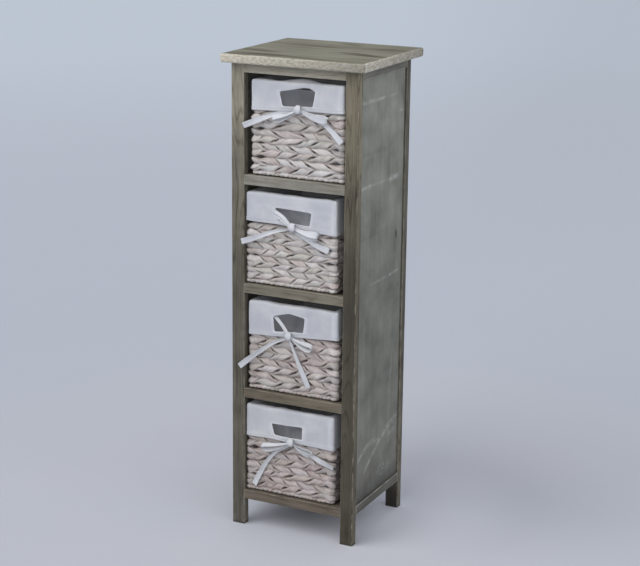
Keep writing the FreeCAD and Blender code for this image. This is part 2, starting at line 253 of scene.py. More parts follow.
def placeCamera():
    yaw, pitch, roll = (cameraSet[k] for k in ("yaw", "pitch", "roll"))
    ahead = Vector((-math.sin(yaw) * math.cos(pitch), math.cos(yaw) * math.cos(pitch), -math.sin(pitch)))
    right = Vector((math.cos(yaw), math.sin(yaw), 0))
    up = right.cross(ahead)
    rightRolled = right * math.cos(roll) + up * math.sin(roll)
    upRolled = up * math.cos(roll) - right * math.sin(roll)
    data = bpy.data.cameras.new("camera")
    data.lens = cameraSet["lens"]
    data.sensor_width = cameraSet["sensor"]
    data.sensor_fit = "HORIZONTAL"
    data.clip_end = cameraSet["sight"]
    camera = addObject("camera", data)
    camera.matrix_world = Matrix((rightRolled, upRolled, -ahead)).transposed().to_4x4()
    camera.location = cameraSet["place"]
    bpy.context.scene.camera = camera


placeCamera()

# soft studio light
lightSet = {
    # where each sun comes from, its power and its angle
    "suns": {"keyLight": ((-0.50, -0.75, 0.95), 1.92, 60), "fillLight": ((0.85, -0.45, 0.6), 0.68, 70)},
    "frontPower": 20.0, "frontRadius": 0.05,
    "worldColor": (205, 212, 224), "worldPower": 0.62,
}


def placeLights():
    for name, (come, power, angle) in lightSet["suns"].items():
        data = bpy.data.lights.new(name, "SUN")
        data.energy = power
        data.angle = math.radians(angle)
        addObject(name, data).rotation_euler = Vector(come).to_track_quat("Z", "Y").to_euler()
    # a lamp by the camera reaches into the gaps over the baskets
    data = bpy.data.lights.new("frontLight", "POINT")
    data.energy = lightSet["frontPower"]
    data.shadow_soft_size = lightSet["frontRadius"]
    addObject("frontLight", data).location = cameraSet["place"]
    world = bpy.data.worlds.new("studio")
    world.use_nodes = True
    background = world.node_tree.nodes["Background"]
    background.inputs["Color"].default_value = tint(*lightSet["worldColor"])
    background.inputs["Strength"].default_value = lightSet["worldPower"]
    bpy.context.scene.world = world
    bpy.context.scene.view_settings.view_transform = "Standard"


placeLights()

# pale seamless floor: colours by distance from the cabinet
floorSet = {
    "half": 20.0, "near": (192, 192, 198), "mid": (183, 187, 195), "far": (193, 200, 208),
    "midFrom": (0.3, 1.3), "farFrom": (2.0, 7.0), "clouds": 3.0, "cloudiness": 0.35,
    # the light falls off to the right, most of all far behind
    "toRight": (0.899, 0.437), "farRight": (0.02, 0.24), "behind": (1.5, 6.0), "nearRight": (-0.6, 1.6),
    "dim": (0.88, 0.88, 0.88, 1.0),
    # light thrown back beside the cabinet: x, y, half widths and strength
    "patches": ((0.07, 0.04, 0.10, 0.15, 0.40), (0.14, 0.11, 0.24, 0.26, 0.30)),
}


def layFloor():
    half = floorSet["half"]
    mesh = meshFrom("floor", [(-half, -half, 0), (half, -half, 0), (half, half, 0), (-half, half, 0)], [(0, 1, 2, 3)])
    floor = addObject("floor", mesh)
    material, t = newMaterial("paleFloor")
    near, mid, far = (tint(*floorSet[part]) for part in ("near", "mid", "far"))
    place = t.place()
    distance = t.length(place)
    cloudy = t.cloud(place, floorSet["clouds"], 1.0, 4.0).rise(0.3, 0.7)
    color = t.mix(distance.rise(*floorSet["midFrom"]), t.mix(cloudy * floorSet["cloudiness"], near, mid), mid)
    color = t.mix(distance.rise(*floorSet["farFrom"]), color, far)
    x, y = t.split(place)[:2]
    shareX, shareY = floorSet["toRight"]
    right = ((x * shareX + y * shareY) / distance).rise(*floorSet["farRight"]) * distance.rise(*floorSet["behind"])
    shade = (x.rise(*floorSet["nearRight"]) * 0.25).most(right)
    color = t.mix(shade, color, t.times(color, floorSet["dim"]))
    gain = 1.0
    for atX, atY, wideX, wideY, strength in floorSet["patches"]:
        reach = t.length(t.join((x - atX) / wideX, (y - atY) / wideY, 0.0))
        gain = gain + (1.0 - reach.rise(0.1, 1.0)) * strength
    color = t.times(color, t.join(gain, gain, gain))
    closeMaterial(t, {"Base Color": color, "Roughness": 0.85})
    mesh.materials.append(material)


layFloor()
print("camera, light and floor placed")

# stained boards: grain along each board, blotched stain, pale worn edges, and painted light and shade by height and
# face
woodSet = {
    "post": {"deep": (93, 84, 69), "mid": (149, 142, 125), "pale": (196, 190, 177), "worn": (160, 152, 136),
             "wear": 0.0006, "rub": 0.55, "grain": 0.85},
    "rail": {"deep": (74, 69, 60), "mid": (109, 104, 95), "pale": (138, 134, 126), "worn": (166, 158, 146),
             "wear": 0.0004, "rub": 0.45, "grain": 0.7},
    "sideRail": {"deep": (90, 87, 78), "mid": (126, 123, 113), "pale": (158, 155, 145), "worn": (192, 188, 178),
                 "wear": 0.0006, "rub": 0.6, "grain": 0.7},
    "panel": {"deep": (104, 103, 95), "mid": (147, 146, 136), "pale": (186, 184, 174), "worn": (206, 204, 197),
              "wear": 0.0003, "rub": 0.5, "grain": 0.28},
    "inside": {"deep": (58, 52, 44), "mid": (86, 79, 68), "pale": (108, 101, 90), "worn": (130, 122, 110),
               "wear": 0.0004, "rub": 0.6, "grain": 1.0},
    # streaks along the grain: scale across, scale along, detail and place in the noise
    "streaks": {
        "wander": (16.0, 3.0, 2.0, 0.3), "bands": (95.0, 2.6, 4.0, 1.1), "fibres": (620.0, 22.0, 3.0, 2.7),
        "swirls": (34.0, 2.2, 1.0, 5.9), "pores": (880.0, 34.0, 1.0, 7.7),
    },
    "blotches": 17.0, "rubbing": 60.0, "specks": 330.0, "rings": 17.0, "tall": 840,
    "frontDepth": (0.0008, 0.0026), "footShade": (38, 34, 30), "plainTone": (1.0, 1.0, 1.0),
}


def boardMaterial(name, look, grain, low, high, seed, options):
    tones = dict(woodSet[look])
    for key in ("deep", "mid", "pale"):
        tones[key] = [v * gain for v, gain in zip(tones[key], options.get("tone", woodSet["plainTone"]))]
    deep, mid, pale, worn = (tint(*tones[key]) for key in ("deep", "mid", "pale", "worn"))
    material, t = newMaterial(name)
    place = t.place()
    x, y, z = t.split(place)
    along, sideA, sideB = {"x": (x, y, z), "y": (y, z, x), "z": (z, x, y)}[grain]
    streaks = {}
    for layer, (across, lengthwise, detail, shift) in woodSet["streaks"].items():
        streaks[layer] = t.noise(t.join(along * lengthwise, sideA * across, sideB * across), seed + shift, detail)
    wander, bands, fibres = (streaks[layer] for layer in ("wander", "bands", "fibres"))
    blotch = t.cloud(place, woodSet["blotches"], seed + 4.2, 4.0)
    rings = (streaks["swirls"] + wander * 0.35) * woodSet["rings"]
    lines = abs(rings % 1.0 - 0.5).rise(0.30, 0.5)
    pores = streaks["pores"].rise(0.60, 0.70)
    grained = tones["grain"]
    figure = (bands - 0.5) * 0.75 - lines * 0.16 + (fibres - 0.5) * 0.35
    tone = 0.48 + (blotch - 0.5) * (0.95 - 0.5 * grained) + figure * grained
    color = t.mix(tone.rise(0.18, 0.52), deep, mid)
    color = t.mix(tone.rise(0.44, 0.86), color, pale)
    color = t.mix(pores * (0.45 * grained), color, tint(*[v * 0.62 for v in tones["deep"]]))
    # partly stain wiped paler towards the top, partly painted light and shade: each face gets tones by height, lighter
    # where more light falls from above and the front
    inward = (y - low.y).rise(*woodSet["frontDepth"])
    for levels, face in ((options.get("frontLightAndStain"), 1.0 - inward), (options.get("sideLightAndStain"), inward)):
        if levels:
            stops = [(at / woodSet["tall"], (level ** 2.2,) * 3 + (1.0,)) for at, level in levels]
            stops = stops[:1] + stops[-1:] + stops[1:-1]
            lightAndStainByHeight = t.add("ShaderNodeValToRGB", {"stops": stops}, {"Fac": z * 1000.0 / woodSet["tall"]})
            color = t.mix(face, color, lightAndStainByHeight, "MULTIPLY")
    for start, end, height, slope, bend, wide, strength in options.get("marks", ()):
        reach = y - start
        line = height + reach * slope + reach * reach * bend
        band = 1.0 - abs(z - line + (wander - 0.5) * 0.006).rise(0.0, wide)
        patchy = t.noise(t.join(x * 30.0, y * 70.0, z * 150.0), seed + height, 3.0).rise(0.28, 0.66)
        ends = reach.rise(0.0, 0.010) * (end - y).rise(0.0, 0.012)
        color = t.mix(band * patchy * ends * abs(strength), color, worn if strength > 0 else deep)
    for spotY, spotZ, wide, tall in options.get("specks", ()):
        fine = t.cloud(place, woodSet["specks"], seed + 6.6, 2.0).rise(0.50, 0.68)
        spread = 1.0 - t.length(t.join(0.0, (y - spotY) / wide, (z - spotZ) / tall)).rise(0.4, 1.0)
        color = t.mix(fine * spread * 0.35, color, worn)
    for spotX, spotY, spotZ, size in options.get("knots", ()):
        reach = t.length(t.join(x - spotX, y - spotY, (z - spotZ) * 0.55))
        spot = 1.0 - (reach + (wander - 0.5) * size * 0.5).rise(size * 0.35, size)
        color = t.mix(spot * 0.75, color, tint(*[v * 0.5 for v in tones["deep"]]))
    # distance to the nearest edge is the middle one of the three face distances
    gaps = [(v - l).least(h - v) for v, l, h in zip((x, y, z), low, high)]
    edge = gaps[0].least(gaps[1]).most(gaps[0].most(gaps[1]).least(gaps[2]))
    wear = tones["wear"]
    rub = t.cloud(place, woodSet["rubbing"], seed + 9.3, 4.0)
    bare = 1.0 - (edge - (rub - 0.42) * wear * 6.0).rise(wear * 0.3, wear * 1.6)
    color = t.mix(bare * tones["rub"], color, worn)
    # painted shade: each post darkens towards its foot, where it stands on the floor
    if "footShade" in options:
        color = t.mix((1.0 - z.rise(0.0, options["footShade"])) * 0.8, color, tint(*woodSet["footShade"]))
    closeMaterial(t, {
        "Base Color": color,
        "Roughness": 0.62 + blotch * 0.2 - bare * 0.05,
        "Specular IOR Level": 0.35,
        "Normal": t.bump(fibres * 0.5 + lines * 0.25 - pores * 0.8 + bands * 0.4, 0.45, 0.0005),
    })
    return material


def every80(*levels):
    # tones at 20 mm and every 80 mm above
    return [(20 + 80 * n, level) for n, level in enumerate(levels)]


# tone by height in millimetres, partly the stain and partly painted light and shade
postSet = {
    "front_left_post": {
        "frontLightAndStain": every80(0.56, 0.59, 0.635, 0.633, 0.63, 0.633, 0.69, 0.80, 0.79, 0.94),
        "sideLightAndStain": [(0, 0.70), (840, 0.78)],
    },
    "front_right_post": {
        "tone": (0.985, 0.968, 0.925),
        "frontLightAndStain": every80(0.493, 0.546, 0.477, 0.53, 0.473, 0.46, 0.532, 0.65, 0.71, 0.82),
        # painted shade: this post's front face lies in shade, so its tones stay low
        "sideLightAndStain": every80(0.755, 0.695, 0.733, 0.763, 0.673, 0.755, 0.808, 0.837, 0.98, 1.0),
    },
    "rear_left_post": {"sideLightAndStain": [(0, 0.70), (840, 0.70)]},
    "rear_right_post": {
        # painted shade: the rear post's front face lies in shade, darkest at the foot
        "frontLightAndStain": [(0, 0.34), (30, 0.46), (90, 0.80), (840, 0.60)],
        "sideLightAndStain": [(20, 0.83), (180, 0.79), (260, 0.70), (420, 0.68), (580, 0.74), (740, 0.73)],
    },
}
panelSet = {
    # painted light and shade by height: darkest just over the bottom rail, lighter towards the top
    "sideLightAndStain": [(60, 0.50), (80, 0.68), (100, 0.80), (160, 0.865), (240, 0.885), (320, 0.855), (400, 0.855),
                   (480, 0.88), (560, 0.93), (640, 0.99)],
    # marks rubbed across: from and to in y, height, slope, bend, half width and strength, dark ones below zero
    "marks": (
        (-0.090, 0.010, 0.7700, -0.012, 0.0, 0.0058, 0.46), (-0.020, 0.066, 0.7692, -0.012, 0.0, 0.0036, 0.28),
        (0.062, 0.088, 0.7370, 0.0, 0.0, 0.0030, 0.40), (-0.090, 0.040, 0.6820, 0.0, 0.0, 0.0050, -0.30),
        (-0.090, -0.042, 0.6270, -0.010, 0.0, 0.0062, 0.50), (-0.060, 0.050, 0.6268, -0.010, 0.0, 0.0044, 0.24),
        (0.026, 0.082, 0.6252, -0.010, 0.0, 0.0085, 0.56), (-0.090, 0.030, 0.5400, 0.0, 0.0, 0.0045, -0.28),
        (-0.050, 0.046, 0.4537, 0.0, 0.0, 0.0040, 0.24), (0.030, 0.082, 0.4535, 0.0, 0.0, 0.0044, 0.42),
        (-0.086, 0.014, 0.1420, 0.682, -5.06, 0.0085, 0.36), (-0.058, 0.088, 0.1150, 0.7256, -1.612, 0.0080, 0.36),
        (0.040, 0.092, 0.1550, 0.25, 0.0, 0.0240, 0.24), (0.044, 0.064, 0.2500, 3.5, 0.0, 0.0400, 0.16),
    ),
    # pale specks: y, height and half widths
    "specks": ((0.024, 0.098, 0.046, 0.016),),
    # a knot: y, height and size
    "knot": (0.062, 0.522, 0.0050),
}
# painted light and shade: the front rails are lighter just under the top and darker towards the floor; the bottom side
# rails are darker
railLightTones = {
    "top_front_rail": (1.376, 1.380, 1.345),
    "shelf_1_front_rail": (1.215, 1.232, 1.234),
    "shelf_2_front_rail": (1.065, 1.056, 1.010),
    "shelf_3_front_rail": (0.920, 0.884, 0.820),
    "shelf_4_front_rail": (0.894, 0.844, 0.798),
    "left_bottom_side_rail": (0.80, 0.80, 0.80),
    "right_bottom_side_rail": (0.80, 0.80, 0.80),
}
# names' endings, with the look and the way the grain runs
boardKinds = (
    ("post", "post", "z"), ("side_rail", "sideRail", "y"), ("rail", "rail", "x"), ("side_panel", "panel", "z"),
    ("back_panel", "inside", "z"), (("shelf_1", "shelf_2", "shelf_3", "shelf_4"), "inside", "x"),
)


def paintBoards():
    seed = 0.0
    for name, node in nodes.items():
        kind = next((kind for kind in boardKinds if name.endswith(kind[0])), None)
        if not kind:
            continue
        look, grain = kind[1:]
        low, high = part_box(name)
        options = {"tone": railLightTones.get(name, woodSet["plainTone"])}
        if look == "post":
            options = {**postSet[name], "footShade": 0.006}
        elif look == "panel":
            options = {**panelSet, "knots": ((high.x if high.x > 0 else low.x, *panelSet["knot"]),)}
        seed += 3.17
        node.material_slots[0].material = boardMaterial(name + "Stain", look, grain, low, high, seed, options)


paintBoards()
print("boards stained")

# the top: one thick board with hewn, whitewashed edges
topSet = {
    "corner": 0.004, "chip": 0.0011, "seed": 41.0, "step": 0.0016, "bendSteps": 6, "edgeReach": 0.0045,
    "noiseTall": 0.016, "edgeDrop": 0.0006, "unevenness": 0.00025, "middleDrop": 0.0001,
    # hewing of the edge: scale, size and place in the noise
    "hewing": ((0.055, 0.30, (3, 0, 41)), (0.16, 0.225, (0, 0, 0)), (0.5, 0.25, (0, 0, 0))), "deepest": 1.4,
    # inset, share of the height and scale of each ring, from the underside's middle round the edge to the top
    "rings": ((0.0022, 0.0, 0.9), (0.0022, 0.0, 1), (0.0008, 0.05, 1), (0.0, 0.16, 1), (0.0, 0.3, 1), (0.0, 0.44, 1),
              (0.0, 0.58, 1), (0.0, 0.72, 1), (0.0, 0.84, 1), (0.0007, 0.94, 1), (0.0022, 0.99, 1), (0.0038, 1.0, 1),
              (0.0038, 1.0, 0.95), (0.0038, 1.0, 0.8)),
    # darker streaks along the grain: x, y, half length, half width, slope and strength
    "streaks": ((0.088, -0.021, 0.058, 0.016, -0.22, 0.95), (-0.090, -0.055, 0.042, 0.012, -0.10, 0.85),
                (-0.060, -0.092, 0.062, 0.013, -0.05, 0.90), (-0.030, 0.040, 0.075, 0.011, 0.0, 0.70),
                (0.012, 0.090, 0.030, 0.014, -0.4, 0.60), (0.050, -0.111, 0.050, 0.008, -0.1, 0.60),
                (0.094, 0.062, 0.036, 0.018, 0.1, 0.55)),
    # cracks along the grain: y, width and strength
    "cracks": ((0.062, 0.0016, 0.85), (0.012, 0.0009, 0.4), (-0.052, 0.0009, 0.45)),
    "dark": (101, 96, 79), "light": (145, 142, 124), "fine": (92, 83, 66), "streak": (82, 75, 58),
    "crack": (66, 58, 48), "limeThin": (160, 151, 133), "limeThick": (194, 188, 175),
}


def bearing(degrees):
    turn = math.radians(degrees)
    return Vector((math.cos(turn), math.sin(turn)))


def roundedLoop(halfX, halfY, radius, step, bendSteps=8):
    # counter-clockwise from the middle of the front: place and outward direction
    loop = []

    def run(start, end, out):
        count = max(1, round((end - start).length / step))
        for n in range(count):
            loop.append((start.lerp(end, n / count), out))

    position = Vector((0, -halfY))
    out = Vector((0, -1))
    for signX, signY, angle in ((1, -1, -90), (1, 1, 0), (-1, 1, 90), (-1, -1, 180)):
        corner = Vector((signX * (halfX - radius), signY * (halfY - radius)))
        run(position, corner + bearing(angle) * radius, out)
        for n in range(bendSteps):
            out = bearing(angle + 90 * n / bendSteps)
            loop.append((corner + out * radius, out))
        out = bearing(angle + 90)
        position = corner + out * radius
    run(position, Vector((0, -halfY)), out)
    return loop


def buildTop():
    low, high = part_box("top_board")
    middle = (low + high) / 2
    half = (high - low) / 2
    loop = roundedLoop(half.x, half.y, topSet["corner"], topSet["step"], topSet["bendSteps"])
    points, faces = [], []
    for inset, share, scale in topSet["rings"]:
        nearEdge = max(0.0, 1 - inset / topSet["edgeReach"]) if scale == 1 else 0.0
        for place, out in loop:
            spot = Vector((place.x, place.y, share * topSet["noiseTall"])) * 1000
            hewn = 0.5
            for fine, size, shift in topSet["hewing"]:
                hewn += size * noise.noise(spot * fine + Vector(shift))
            depth = inset + topSet["chip"] * max(0.0, min(topSet["deepest"], hewn)) * nearEdge
            flat = (place - out * depth) * scale
            rise = share * (high.z - low.z)
            if share > 0.9:
                uneven = topSet["unevenness"] * (1 + noise.noise(spot * 0.03)) * (1 - nearEdge) * 0.5
                rise -= topSet["edgeDrop"] * max(0.0, hewn) * nearEdge + uneven
            points.append((middle.x + flat.x, middle.y + flat.y, low.z + rise))
    count = len(loop)
    for ring in range(len(topSet["rings"]) - 1):
        for n in range(count):
            a, b = ring * count + n, ring * count + (n + 1) % count
            faces.append((a, b, b + count, a + count))
    for first, height, side in ((0, low.z, 1), (len(points) - count, high.z - topSet["middleDrop"], -1)):
        centre = len(points)
        points.append((middle.x, middle.y, height))
        for n in range(count):
            faces.append((first + n, centre, first + (n + 1) % count)[::side])
    mesh = meshFrom("topBoardHewn", points, faces)
    newPiece("topBoardHewn", mesh, topMaterial(low, high), "cabinet", ["top_board"])


def topMaterial(low, high):
    material, t = newMaterial("topStain")
    dark, light, fine, streak, crack, limeThin, limeThick = (
        tint(*topSet[key]) for key in ("dark", "light", "fine", "streak", "crack", "limeThin", "limeThick"))
    place = t.place()
    x, y, z = t.split(place)
    seed = topSet["seed"]
    wander = t.noise(t.join(x * 5.0, y * 9.0, z * 9.0), seed, 2.0)
    yBent = y + (wander - 0.5) * 0.010
    bands = t.noise(t.join(x * 3.2, yBent * 70.0, z * 70.0), seed + 1, 4.0)
    fibres = t.noise(t.join(x * 24.0, y * 560.0, z * 560.0), seed + 2, 3.0)
    blotch = t.cloud(place, 15.0, seed + 3, 4.0)
    thin = t.noise(t.join(x * 5.0, yBent * 150.0, z * 60.0), seed + 4, 2.0).rise(0.56, 0.70)
    tone = bands * 0.8 + blotch * 0.35 + (fibres - 0.5) * 0.3 - 0.1
    color = t.mix(tone.rise(0.2, 0.75), dark, light)
    color = t.mix(thin * 0.55, color, fine)
    for spotX, spotY, long, wide, slope, strength in topSet["streaks"]:
        across = (y - spotY) - (x - spotX) * slope + (wander - 0.5) * 0.012
        reach = t.length(t.join((x - spotX) / long, across / wide, 0.0)) + (bands - 0.5) * 1.9 + (fibres - 0.5) * 0.7
        color = t.mix((1.0 - reach.rise(0.20, 1.20)) * strength, color, streak)
    for line, width, strength in topSet["cracks"]:
        split = 1.0 - abs(y - line + (wander - 0.5) * 0.006).rise(width * 0.3, width)
        color = t.mix(split * strength * (bands * 0.6 + 0.6), color, crack)
    rim = (x - low.x).least(high.x - x).least((y - low.y).least(high.y - y))
    rub = t.cloud(place, 85.0, seed + 5, 4.0)
    pale = 1.0 - (rim - (rub - 0.5) * 0.004).rise(0.0020, 0.0042)
    fleck = t.noise(t.join(x * 140.0, y * 140.0, z * 420.0), seed + 6, 3.0)
    lime = t.mix(fleck.rise(0.34, 0.66), limeThin, limeThick)
    # painted light: the limewash is lighter to the left on the front and towards the front on the right, the sides
    # nearer the light
    front = 1.0 - (y - low.y).rise(0.002, 0.006)
    level = front * (1.0 - x * 2.4) + (1.0 - front) * (1.12 - y * 2.6)
    color = t.mix(pale * 0.92, color, t.times(lime, t.join(level, level, level)))
    closeMaterial(t, {
        "Base Color": color,
        "Roughness": 0.6 + blotch * 0.2 + pale * 0.1,
        "Specular IOR Level": 0.35,
        "Normal": t.bump(fibres * 0.5 + bands * 0.4 + fleck * pale * 0.7, 0.5, 0.0006),
    })
    return material


buildTop()
print("top board hewn")


# small metal and dowels: names' endings, dark and light, scale, roughness and metal
fastenerSet = {
    "zincSteel": (("brads", "screws"), (120, 120, 118), (165, 165, 162), 900.0, 0.3, 1.0),
    "dullWire": ("wire_frame", (84, 82, 78), (120, 118, 112), 700.0, 0.4, 1.0),
    "beechDowel": ("rail_dowels", (164, 128, 92), (196, 160, 122), 500.0, 0.6, 0.0),
}


def plainFinish(name, dark, light, scale, roughness, metallic):
    material, t = newMaterial(name)
    grain = t.cloud(t.place(), scale, 2.0, 4.0)
    closeMaterial(t, {
        "Base Color": t.mix(grain.rise(0.3, 0.7), tint(*dark), tint(*light)),
        "Roughness": roughness + grain * 0.2,
        "Metallic": metallic,
        "Normal": t.bump(grain, 0.2, 0.0002),
    })
    return material


for name, (endings, *look) in fastenerSet.items():
    finish = plainFinish(name, *look)
    for nodeName, node in nodes.items():
        if nodeName.endswith(endings):
            node.material_slots[0].material = finish
print("fasteners finished")

# what differs from basket to basket, in millimetres from its middle and floor: the handle opening's left, right, bottom
# and top, how far its corners are pulled, the peak of its upper edge, the hem at the left and right, the cloth's height
# over the rim, how deep the bag hangs behind the opening, and the number of rows below the opening
basketSet = {
    1: {"hole": (-32.2, 33.5, 121.5, 144), "warp": ((0, -0.5), (0, 5.0), (-5.0, 1.2), (6.0, -0.5)),
        "peak": (0.79, 9.5), "hem": (110, 116.5), "puff": 8.0, "rimLift": 2.5, "sink": 34, "rows": 9},
    2: {"hole": (-29.5, 38.5, 111.5, 136), "warp": ((0, 1.8), (0, -1.6), (-3.5, 0.5), (8, 4)),
        "peak": (0.5, 0.5), "hem": (110.5, 101), "puff": 0.0, "rimLift": 0.6, "sink": 13, "rows": 9},
    3: {"hole": (-37.5, 23, 113, 140), "warp": ((0, -2.5), (0, 1.1), (-3, 2.5), (2.5, -3)),
        "peak": (0.5, 6.5), "hem": (98.5, 109.5), "puff": 0.0, "rimLift": -0.4, "sink": 28, "rows": 8},
    4: {"hole": (-34.8, 24.5, 110, 131.5), "warp": ((0, -0.5), (0, 1.7), (-0.5, 0.5), (5.5, 1.5)),
        "peak": (0.5, 0.0), "hem": (102.5, 100.5), "puff": 0.0, "rimLift": 0.4, "sink": 16, "rows": 8},
}


class Basket:
    # one basket's places, read from its wall and base
    def __init__(self, number):
        self.number = number
        self.body = f"basket_{number}"
        low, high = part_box(f"basket_{number}_wall")
        baseLow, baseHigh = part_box(f"basket_{number}_base")
        self.middle = Vector(((low.x + high.x) / 2, (low.y + high.y) / 2, 0))
        self.halfX = (high.x - low.x) / 2
        self.halfY = (high.y - low.y) / 2
        self.radius = 0.004  # of the wall's corners
        self.floor, self.baseTop, self.rim = baseLow.z, baseHigh.z, high.z
        own = basketSet[number]
        left, right, bottom, top = (v / 1000 for v in own["hole"])
        self.holeLeft, self.holeRight = left, right
        self.holeBottom, self.holeTop = self.floor + bottom, self.floor + top
        self.own = own

    def hemAt(self, side):
        # the hem runs a little out of level, from the left side to the right
        left, right = self.own["hem"]
        return self.floor + (left + (right - left) * (side / self.halfX + 1) / 2) / 1000


baskets = [Basket(n) for n in (1, 2, 3, 4)]

# twisted strands: two to a row, rows twisted left and right by turns
strandSizes = ("width", "thickness", "twist", "swing", "lift", "step", "wobble", "sway", "slip", "pair", "bulge",
               "square", "sides")
strandSet = {kind: dict(zip(strandSizes, sizes)) for kind, sizes in {
    "wall": (0.0138, 0.0064, 0.061, 0.0018, 0.0043, 0.0028, 0.0014, 0.0021, 1.10, 0.0009, 0.30, 0.0040, 12),
    "covered": (0.0085, 0.0045, 0.054, 0.0010, 0.0022, 0.0040, 0.0005, 0.0006, 0.40, 0.0, 0.10, 0.0020, 8),
    "border": (0.0066, 0.0060, 0.0165, 0.0021, 0.0008, 0.0011, 0.0012, 0.0, 1.6, 0.0, 0.50, 0.0020, 8),
    "bottom": (0.0058, 0.0030, 0.034, 0.0016, 0.0012, 0.0042, 0.0006, 0.0, 0.4, 0.0, 0.10, 0.0, 8),
}.items()}
weaveSet = {
    "axisInset": 0.0055, "sideOut": 0.0009, "underCuff": 0.0024, "rowHeight": 0.0115, "pathStep": 0.01,
    "leastRadius": 0.001, "uneven": 0.14, "overBase": 0.0003, "underHole": 0.006, "overHole": 0.0015,
    "besideHole": 0.003, "underRim": 0.0035, "overLimit": 0.012, "twoRowsFrom": 0.013, "openFrom": 5,
    "coveredFrom": 0.002, "halfCoveredFrom": 0.008, "borderInset": 0.0042, "borderHeight": 0.0047,
    "bottomRows": 26, "bottomInset": (0.0065, 0.011), "offPost": 0.0003, "onFront": 0.0001, "endGap": 0.002,
    # distances from a corner over which strands calm down, rows draw together and apart, and the corner is squared
    "calm": (0.009, 0.026), "draw": (0.0085, 0.0130), "ease": (0.015, 0.025), "squared": (0.0078, 0.0125),
}


def weaveTree():
    t, given = openGroup("twistedRows", {
        "Geometry": ["Rows"], "Float": [*strandSizes[:-1], "seed"], "Int": ["sides"],
        "Vector": ["middle", "half"], "Material": ["finish"],
    }, "Strands")
    rows = t.add("GeometryNodeResampleCurve", {"mode": "LENGTH"}, {"Curve": given["Rows"], "Length": given["step"]})
    strands = t.add("GeometryNodeDuplicateElements", {"domain": "SPLINE"}, {"Geometry": rows, "Amount": 2})

    def store(geometry, name, value):
        return t.add("GeometryNodeStoreNamedAttribute", {"data_type": "FLOAT", "domain": "POINT"},
                     {"Geometry": geometry, "Name": name, "Value": value})

    index = t.add("GeometryNodeCurveOfPoint", out="Curve Index")
    row = (index * 0.5).alone("FLOOR")
    second = index - row * 2.0
    hand = 1.0 - (row % 2.0) * 2.0
    share = t.add("GeometryNodeSplineParameter", out="Factor")
    length = t.add("GeometryNodeSplineLength", out="Length")
    turns = (length / given["twist"]).alone("ROUND")
    place = t.add("GeometryNodeInputPosition")
    slip = t.cloud(place, 17.0, row * 0.3 + given["seed"], 1.0)
    turned = share * turns + second * 0.5 + 0.25 + (slip - 0.5) * given["slip"]
    strands = store(strands, "turn", turned)
    strands = store(strands, "strand", index)
    strands = store(strands, "leaf", (turned + 0.5).alone("FLOOR") % turns)
    turn = t.add("GeometryNodeInputNamedAttribute", {"data_type": "FLOAT"}, {"Name": "turn"}, out="Attribute")
    angle = turn * (2 * math.pi)
    front = angle.alone("COSINE")
    rise = angle.alone("SINE")
    along = t.add("GeometryNodeInputTangent")
    outward = t.vector("NORMALIZE", t.vector("CROSS_PRODUCT", along, (0.0, 0.0, 1.0)))
    # strands lie flatter where they go round a corner
    fromMiddle = t.vector("SUBTRACT", place, given["middle"])
    apart = t.vector("SUBTRACT", given["half"], t.vector("ABSOLUTE", fromMiddle))
    nearCorner = t.length(t.vector("MULTIPLY", apart, (1.0, 1.0, 0.0)))
    calm = nearCorner.rise(*weaveSet["calm"])
    # and rows draw together in pairs, most of all a little way in from a corner
    drawn = nearCorner.rise(*weaveSet["draw"]) * (2.3 - nearCorner.rise(*weaveSet["ease"]) * 1.3)
    stray = t.cloud(place, 40.0, index * 3.7 + given["seed"], 2.0, out="Color")
    stray = t.vector("SCALE", t.vector("SUBTRACT", stray, (0.5, 0.5, 0.5)), given["wobble"] * 2.0)
    sway = (t.cloud(place, 21.0, given["seed"], 1.0) - 0.5) * given["sway"] * 2.0
    climb = hand * (rise * given["lift"] * (0.4 + calm * 0.6) + given["pair"] * drawn) + sway
    offset = t.vector("ADD", t.vector("SCALE", outward, front * given["swing"]), t.join(0.0, 0.0, climb))
    # the frame inside pushes the corner out square
    diagonal = t.vector("MULTIPLY", t.vector("SIGN", fromMiddle), (0.7071, 0.7071, 0.0))
    squared = given["square"] * (1.0 - nearCorner.rise(*weaveSet["squared"]))
    offset = t.vector("ADD", offset, t.vector("SCALE", diagonal, squared))
    strands = t.add("GeometryNodeSetPosition", None, {"Geometry": strands, "Offset": t.vector("ADD", offset, stray)})
    strands = t.add("GeometryNodeSetCurveNormal", {"mode": "Z_UP"}, {"Curve": strands})
    strands = t.add("GeometryNodeSetCurveTilt", None, {"Curve": strands, "Tilt": 0.0 - hand * angle})
    plump = t.noise(t.join(turn * 0.9, index * 1.7, given["seed"]), 5.0, 1.0)
    swell = 0.52 + front * given["bulge"] + plump * 0.72
    strands = t.add("GeometryNodeSetCurveRadius", None, {"Curve": strands, "Radius": swell})
    circle = t.add("GeometryNodeCurvePrimitiveCircle", {"mode": "RADIUS"},
                   {"Resolution": given["sides"], "Radius": 1.0})
    spot = t.split(t.add("GeometryNodeInputPosition"))
    circle = store(store(circle, "aroundOut", spot[0]), "aroundUp", spot[1])
    profile = t.add("GeometryNodeTransform", None,
                    {"Geometry": circle, "Scale": t.join(given["thickness"] * 0.5, given["width"] * 0.5, 1.0)})
    mesh = t.add("GeometryNodeCurveToMesh", None, {"Curve": strands, "Profile Curve": profile, "Fill Caps": True})
    return closeGroup(t, mesh, given["finish"])


